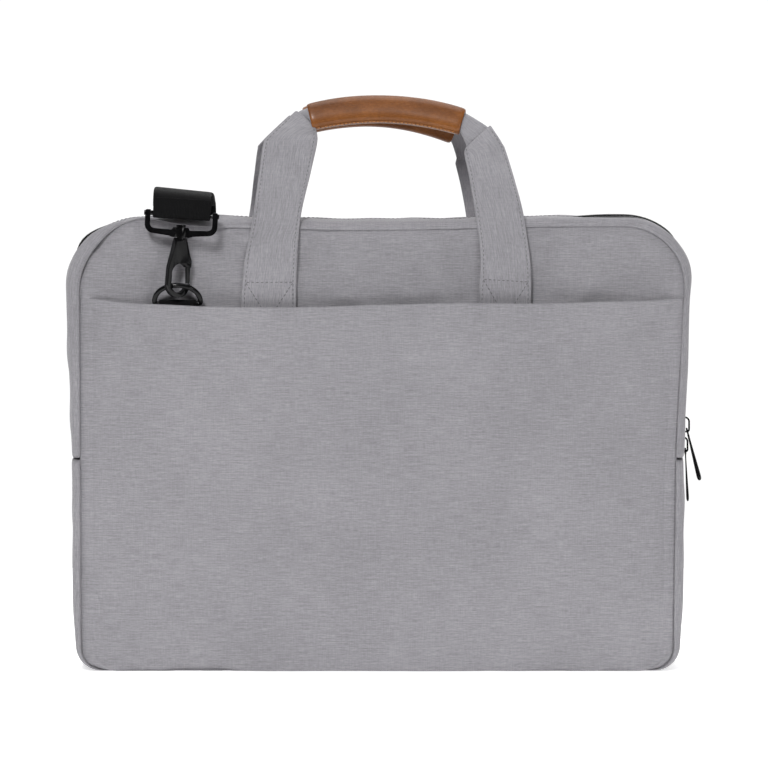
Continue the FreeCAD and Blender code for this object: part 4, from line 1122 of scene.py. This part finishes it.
def handle_leg(end, side):
    """One leg of webbing from its sewn end to the fold, with stitched edges and a crossed box."""
    spread = np.concatenate([[-1, -0.97], np.linspace(-0.93, 0.93, 17), [0.97, 1]])
    skipped = 0.0 if end == "front" else 0.10
    grid = leg_surface(end, side, 110, spread)[int(skipped * 110):]
    normal = leg_normals(grid, end)
    furrow = 1 - 0.22 * bell(np.abs(spread), 0.05, 0.87)
    furrow[[0, 1, -2, -1]] = 0.35, 0.85, 0.85, 0.35
    thick = (WEB_THICK / 2 * furrow)[None, :, None]
    loops = np.concatenate([grid + normal * thick, (grid - normal * thick)[:, ::-1]], 1)
    piece = loft(f"{end}_handle_{side}_web", loops, [GREY_WEB])

    edge = leg_surface(end, side, 160, [-0.87, 0.87])[int(skipped * 160):]
    edge_normal = leg_normals(edge, end)
    lift = WEB_THICK / 2 - 0.00012
    rows = [(edge[:-6, k] + edge_normal[:-6, k] * lift, edge_normal[:-6, k]) for k in (0, 1)]
    sewn_from = ANCHOR_TOP - (0.050 if end == "front" else 0.026)
    low, high = (edge[np.argmin(np.abs(edge[:, 0, 2] - z))] for z in (sewn_from, ANCHOR_TOP - 0.001))
    facing = np.array([0, SIGN[end], 0.0])
    for a, b in ((high[0], high[1]), (low[0], low[1]), (high[0], low[1]), (high[1], low[0])):
        rows.append((np.linspace(a, b, 20) + facing * (lift + 0.0001), facing))
    seam = stitches(f"{end}_handle_{side}_stitches", rows, GREY_THREAD, pitch=0.0029, length=0.0021)
    dress(piece, "grey_webbing", None, f"handle_anchor_{end}_{side}")
    dress(seam, "grey_webbing", None)
    for part in (piece, seam):
        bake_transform(part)


def lean_point(end, x, z, out):
    """A point of the handle's leaned plane, moved out of it by a distance."""
    y = float(handle_depth(end, z)) + out * math.cos(LEAN[end])
    return np.array([x, SIGN[end] * y, z + out * math.sin(LEAN[end])])


def grip_line(end, count):
    """Points (x, z) along a grip's arc, and the arc's outward direction at each."""
    (ax, az), (bx, bz), (cx, cz) = GRIPS[end]
    d = 2 * (ax * (bz - cz) + bx * (cz - az) + cx * (az - bz))
    a2, b2, c2 = ax ** 2 + az ** 2, bx ** 2 + bz ** 2, cx ** 2 + cz ** 2
    ux = (a2 * (bz - cz) + b2 * (cz - az) + c2 * (az - bz)) / d
    uz = (a2 * (cx - bx) + b2 * (ax - cx) + c2 * (bx - ax)) / d
    radius = math.hypot(ax - ux, az - uz)
    angles = np.linspace(math.atan2(az - uz, ax - ux), math.atan2(cz - uz, cx - ux), count)
    return [(ux + radius * math.cos(a), uz + radius * math.sin(a), math.cos(a), math.sin(a)) for a in angles]


RING_POINTS = 44
RING_POWER = 2 / 2.6


def grip_ring(end, x, z, up_x, up_z, height, thick):
    """A rounded ring round the grip's line; angle 0 looks along the arc's outward direction."""
    ring = []
    for a in 2 * math.pi * np.arange(RING_POINTS) / RING_POINTS:
        rise, out = (math.copysign(abs(part) ** RING_POWER, part) for part in (math.cos(a), math.sin(a)))
        rise *= height / 2
        ring.append(lean_point(end, x + up_x * rise, z + up_z * rise, out * thick / 2))
    return ring


def grip(end):
    """Leather sleeve round the folded webbing, closed underneath with a crossed seam."""
    count = 64
    line = grip_line(end, count)
    rng = np.random.default_rng(31 if end == "front" else 32)
    rings = []
    for i, place in enumerate(line):
        t = i / (count - 1)
        swell = 1 + 0.035 * math.sin(math.pi * t) + 0.012 * math.sin(9 * t + rng.uniform(0, 0.3))
        swell *= 1 - 0.06 * bell(min(t, 1 - t), 0.012)
        rings.append(grip_ring(end, *place, 0.0172 * swell, 0.0120 * swell))
    turned_in = {i: grip_ring(end, *line[i], 0.0128, 0.0088) for i in (3, 0, count - 1, count - 4)}
    opening = [turned_in.pop(3), turned_in.pop(0)]
    sleeve = loft(f"{end}_grip_leather", opening + rings + list(turned_in.values()), [LEATHER])
    dress(sleeve, "grip_leather", f"{end}_handle", f"grip_sleeve_{end}")

    rings = np.array(rings)[2:-2]
    if end == "front":
        paths = [rings[:, 21]]
    else:
        paths = [rings[:, 19].copy(), rings[:, 15]]
        paths[0][1::2] = paths[1][1::2]
    rows = [(path, path - rings.mean(1)) for path in paths]
    seam = stitches(f"{end}_grip_stitches", rows, TAN_THREAD, pitch=0.0026, length=0.0021, radius=0.00032)
    dress(seam, "grip_leather", f"{end}_handle")


def handle_core(end):
    """The webbing doubled over between the legs' fold lines, mostly inside the leather."""
    body_rings = [np.array(grip_ring(end, *place, 0.0124, 0.0076)) for place in grip_line(end, 30)]
    turns = 2 * math.pi * np.arange(RING_POINTS) / RING_POINTS
    share = (np.cos(turns)[:, None] + 1) / 2
    wide = 0.86 if end == "front" else 0.97
    ends = {}
    for side, near in (("left", body_rings[0]), ("right", body_rings[-1])):
        rows = leg_surface(end, side, 60, [-wide, wide])
        rings = []
        for row, behind, thick in ((-9, 0.0026, 0.0014), (-4, 0.0025, 0.0022), (-1, 0.0020, 0.0030)):
            top, low = sorted(rows[row], key=lambda point: -point[2])
            ring = low + (top - low) * share
            ring[:, 1] += SIGN[end] * (0.5 * thick * np.sin(turns) - behind)
            rings.append(ring)
        ends[side] = rings + [rings[-1] * 0.5 + near * 0.5]
    core = loft(f"{end}_handle_core", ends["left"] + body_rings + ends["right"][::-1], [GREY_WEB])
    dress(core, "grey_webbing", f"{end}_handle", f"handle_web_{end}")


for handle_end in ("front", "rear"):
    for leg_side in ("left", "right"):
        handle_leg(handle_end, leg_side)
    grip(handle_end)
    handle_core(handle_end)


# ---------------------------------------------------------------- tabs, rings and hooks

def ring_tab(end):
    """Black webbing folded round the ring's bar and sewn to the face."""
    low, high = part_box(f"d_ring_tab_{end}")
    up = -SIGN[end]
    bar_z = joint_place(f"{end}_ring_rock")[2]
    middle, radius, bar_out = (low.x + high.x) / 2, 0.0022, 0.0445
    arc = [(bar_out + math.cos(a) * radius, math.sin(a) * radius) for a in np.linspace(0, math.pi, 9)]
    front = [(FACE + 0.0022, -0.039), (FACE + 0.0022, -0.010), (FACE + 0.0034, -0.0065),
             (bar_out + radius, -0.002)]
    back = [(bar_out - radius, -0.002), (FACE + 0.0010, -0.008), (FACE + 0.0009, -0.039)]
    path = curve_through([(middle, -up * out, bar_z + up * z) for out, z in front + arc + back], 60)
    layer = sweep(path, high.x - low.x, 0.0012, ACROSS, furrow=0.1)
    piece = join_lofts(f"{end}_ring_tab_webbing", [layer], BLACK_WEB)
    places = np.linspace(low.x + 0.003, high.x - 0.003, 12)
    rows = [([(x, -up * (FACE + 0.0029), bar_z + up * z) for x in places], (0, -up, 0))
            for z in (-0.012, -0.034)]
    seam = stitches(f"{end}_ring_tab_stitches", rows, BLACK_THREAD)
    dress(piece, "black_webbing", FACE_BODY[end], f"d_ring_tab_{end}")
    dress(seam, "black_webbing", FACE_BODY[end])


def d_ring(end):
    """Round-backed D-ring, leaning out of its tab, in the plane of the frame's own ring."""
    node = frame["nodes"][f"d_ring_{end}"]
    corners = np.array([node.matrix_world @ vertex.co for vertex in node.data.vertices])
    pivot = joint_place(f"{end}_ring_rock")
    away = np.hypot(corners[:, 1] - pivot[1], corners[:, 2] - pivot[2])
    lean = corners[np.argmax(away)] - pivot
    lean[0] = 0
    reach = np.linalg.norm(lean)
    lean *= (reach + 0.0004) / reach
    low_x, high_x = corners[:, 0].min(), corners[:, 0].max()
    middle = np.array([(low_x + high_x) / 2, *pivot[1:]])
    half = (high_x - low_x) / 2 - 0.0004
    arc = []
    for a in np.linspace(0, math.pi, 40):
        side = half * math.copysign(abs(math.cos(a)) ** 0.96, math.cos(a))
        arc.append(middle + (side, 0, 0) + lean * math.sin(a) ** 0.88)
    bar = [middle + (x, 0, 0) for x in np.linspace(-half, half, 12)[1:-1]]
    piece = tubes(f"{end}_d_ring", [(arc + bar, 0.0018, True)], METAL)
    dress(piece, "dark_metal", f"{end}_ring", f"d_ring_{end}")


def zip_pull(name):
    """A zip's pull: an eye on the slider's bridge, a slim neck, and a bar that thickens to its end."""
    pivot = joint_place(f"{name}_pull_swing")
    lean, length, end = (14.5, 0.0357, 0.00165) if name == "upper" else (3.0, 0.0352, 0.00105)
    run = np.array([math.sin(math.radians(lean)), 0, -math.cos(math.radians(lean))])
    across = np.array([0.0, 1.0, 0.0])
    places = np.array([0.0030, 0.0050, 0.0075, 0.012, 0.018, 0.024, 0.029, 0.0320, 0.0335, 0.0345])
    swell = np.array([0.55, 0.42, 0.45, 0.55, 0.68, 0.82, 0.95, 1.0, 0.86, 0.40])
    flat = np.array([0.0012, 0.0012, 0.0015, 0.0019, 0.0021, 0.0023, 0.0025, 0.0026, 0.0022, 0.0010])
    thin = np.cross(across, run)
    turns = 2 * math.pi * np.arange(12) / 12
    loops = [[pivot + run * place * length / 0.0345 + across * half * math.cos(a)
              + thin * thick * math.sin(a) for a in turns]
             for place, thick, half in zip(places, swell * end, flat)]
    eye = [pivot + run * 0.0014 + run * 0.0021 * math.cos(a) + across * 0.0019 * math.sin(a)
           for a in np.linspace(0, 2 * math.pi, 14, endpoint=False)]
    body, faces, _ = loft_data(loops)
    ring, ring_faces = tube_data(eye, 0.00062, True, first=len(body))
    piece = mesh_piece(f"{name}_zip_pull_bar", np.concatenate([body, ring]), faces + ring_faces, [METAL],
                       subdivide=1)
    return dress(piece, "dark_metal", f"{name}_pull", f"zip_pull_{name}")


def hardware():
    for end in SIGN:
        ring_tab(end)
        soften(f"clasp_frame_{end}", 0.0010, FACE_BODY[end])
        soften(f"snap_hook_{end}", 0.0010, f"{end}_hook")
        soften(f"gate_{end}", 0.0004, f"{end}_gate")
        soften(f"gate_rivet_{end}", 0.0002, f"{end}_hook")
        d_ring(end)
    for name, inward in (("upper", 0.0), ("lower", 0.0010)):
        for piece in (soften(f"zip_slider_{name}", 0.0004, f"{name}_slider"), zip_pull(name)):
            piece.location.x -= inward
    soften("rear_pocket_slider", 0.0004, "pocket_slider")
    soften("rear_pocket_pull", 0.0003, "pocket_pull")


hardware()


# ---------------------------------------------------------------- inside and rear pocket

def soft_block(node, name, material, round_edge, body):
    """A padded plate in a node's box, with rounded edges; it lies flat if the box does."""
    low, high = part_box(node)
    middle, size = (low + high) / 2, high - low
    lying = size.z < 0.004
    deep, thick = (size.y, size.z) if lying else (size.z, size.y)
    nx, nz = max(6, int(size.x / 0.006)), max(4, int(deep / 0.006))
    u, w = np.meshgrid(2 * eased(nx, 0.7) - 1, 2 * eased(nz, 0.7) - 1)
    half_a, half_b = size.x / 2, deep / 2
    away = np.minimum(half_a * (1 - np.abs(u)), half_b * (1 - np.abs(w)))
    profile = thick / 2 * (0.35 + 0.65 * np.sqrt(1 - (1 - np.clip(away / round_edge, 0, 1)) ** 2))
    corner = 1 - 0.012 * (np.abs(u) * np.abs(w)) ** 12
    a, b = middle.x + u * half_a * corner, w * half_b * corner
    if lying:
        front, back = (np.stack([a, middle.y + b, middle.z + rise], -1) for rise in (profile, -profile))
    else:
        front, back = (np.stack([a, middle.y + rise, middle.z + b], -1) for rise in (-profile, profile))
    piece = slab(name, front, back, [material, material])
    dress(piece, node_slot(node), body, node)


def inside():
    soft_block("laptop_divider", "divider_pad", LINING, 0.004, "bag")
    soft_block("bottom_stiffener", "bottom_board", BOARD, 0.001, "bag")
    soft_block("rear_pocket_pouch", "pocket_pouch", LINING, 0.001, "bag")
    soft_block("loop_patch", "loop_patch_pile", FUZZY, 0.0006, "bag")
    soft_block("hook_patch", "hook_patch_pile", FUZZY, 0.0006, "laptop_strap")
    low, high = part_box("retaining_strap")
    out = low.y + 0.0006
    path = [(0, high.y - 0.0003, high.z - 0.0012), (0, high.y - 0.010, high.z - 0.0008),
            (0, out + 0.006, high.z - 0.0010), (0, out + 0.0012, high.z - 0.0035),
            (0, out, high.z - 0.010), (0, out, (low.z + high.z) / 2), (0, out, low.z + 0.0004)]
    layer = sweep(curve_through(path, 40), high.x - low.x, 0.0012, ACROSS, furrow=0.1)
    piece = join_lofts("laptop_strap_webbing", [layer], BLACK_WEB)
    dress(piece, "black_webbing", "laptop_strap", "retaining_strap")


def rear_pocket():
    """The zip of the rear pocket: woven tape, two rows of teeth, and a folded welt on each side."""
    soft_block("rear_pocket_tape", "rear_pocket_tape_cloth", BLACK_TAPE, 0.0006, "bag")
    low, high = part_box("rear_pocket_coil")
    middle_z = (low.z + high.z) / 2
    points, normals = np.array([(low.x, 0.0), (high.x, 0.0)]), np.array([(0.0, 1.0)] * 2)
    verts, faces = [], []
    for side in (-1, 1):
        part, part_faces = zip_teeth(points, normals, distances(points), side, 0.0013, 0.8)
        faces += [[len(verts) + i for i in face] for face in part_faces]
        verts += [(x, low.y + 0.0006 + z + COIL_DEPTH, middle_z + y) for x, y, z in part]
    coil = mesh_piece("rear_pocket_teeth", verts, faces, [COIL])
    dress(coil, "zip_coil", "bag", "rear_pocket_coil")
    tape_low, tape_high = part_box("rear_pocket_tape")
    edge_x = [tape_low.x - 0.002, tape_high.x + 0.002]
    face = FACE + 0.0006
    along_x = np.linspace(*edge_x, 60)
    welts = [([(x, face, middle_z + z) for x in along_x], (0, 0, 1.0)) for z in (-0.0082, 0.0082)]
    up_z = np.linspace(-0.0105, 0.0105, 12)
    welts += [([(x, face, middle_z + z) for z in up_z], ACROSS) for x in edge_x]
    layers = [sweep(line, 0.0052, 0.0018, wide, columns=7) for line, wide in welts]
    rows = [([(x, face + 0.0009, middle_z + z) for x in along_x], (0, 1, 0)) for z in (-0.0088, 0.0088)]
    for piece in (join_lofts("rear_pocket_welt", layers, GREY),
                  stitches("rear_pocket_stitches", rows, GREY_THREAD)):
        dress(piece, "panel_fabric", "bag")


inside()
rear_pocket()


# ---------------------------------------------------------------- floor and light

def stage():
    """Pale table and backdrop, a darker room on the camera's side, and large soft lamps."""
    mesh = bpy.data.meshes.new("floor")
    mesh.from_pydata([(-6, -0.75, 0), (6, -0.75, 0), (6, 0.7, 0), (-6, 0.7, 0)], [], [(0, 1, 2, 3)])
    floor = bpy.data.objects.new("floor", mesh)
    SCENE.collection.objects.link(floor)
    paper, tree, shader = start_material("pale_floor", Roughness=0.9, Emission_Strength=0.47)
    shader.inputs["Base Color"].default_value = (0.92, 0.92, 0.92, 1)
    shader.inputs["Emission Color"].default_value = (1, 1, 1, 1)
    mesh.materials.append(paper)
    world = bpy.data.worlds.new("studio")
    world.use_nodes = True
    tree = world.node_tree
    sky = tree.nodes["Background"]
    ray = add_node(tree, "ShaderNodeTexCoord").outputs["Generated"]
    back = add_node(tree, "ShaderNodeSeparateXYZ", Vector=ray).outputs["Y"]
    bright = add_node(tree, "ShaderNodeMapRange", {"interpolation_type": "SMOOTHSTEP"}, Value=back,
                      From_Min=-0.05, From_Max=0.45, To_Min=0.06, To_Max=1.05).outputs["Result"]
    sky.inputs["Color"].default_value = (1, 1, 1, 1)
    tree.links.new(bright, sky.inputs["Strength"])
    SCENE.world = world
    lights = (
        ("key", (-0.55, -1.95, 1.55), 0.45, 31),
        ("fill", (1.3, -2.1, 0.7), 0.5, 9),
        ("top", (0.0, 0.0, 1.9), 1.2, 14),
        ("back", (0.9, 1.9, 1.2), 1.6, 10),
    )
    for name, place, size, power in lights:
        data = bpy.data.lights.new(name, "AREA")
        data.size = size
        data.energy = power
        light = bpy.data.objects.new(name, data)
        light.location = place
        aim = Vector((0, 0, 0.18)) - Vector(place)
        light.rotation_euler = aim.to_track_quat("-Z", "Y").to_euler()
        SCENE.collection.objects.link(light)


stage()
SCENE.view_settings.view_transform = "Standard"
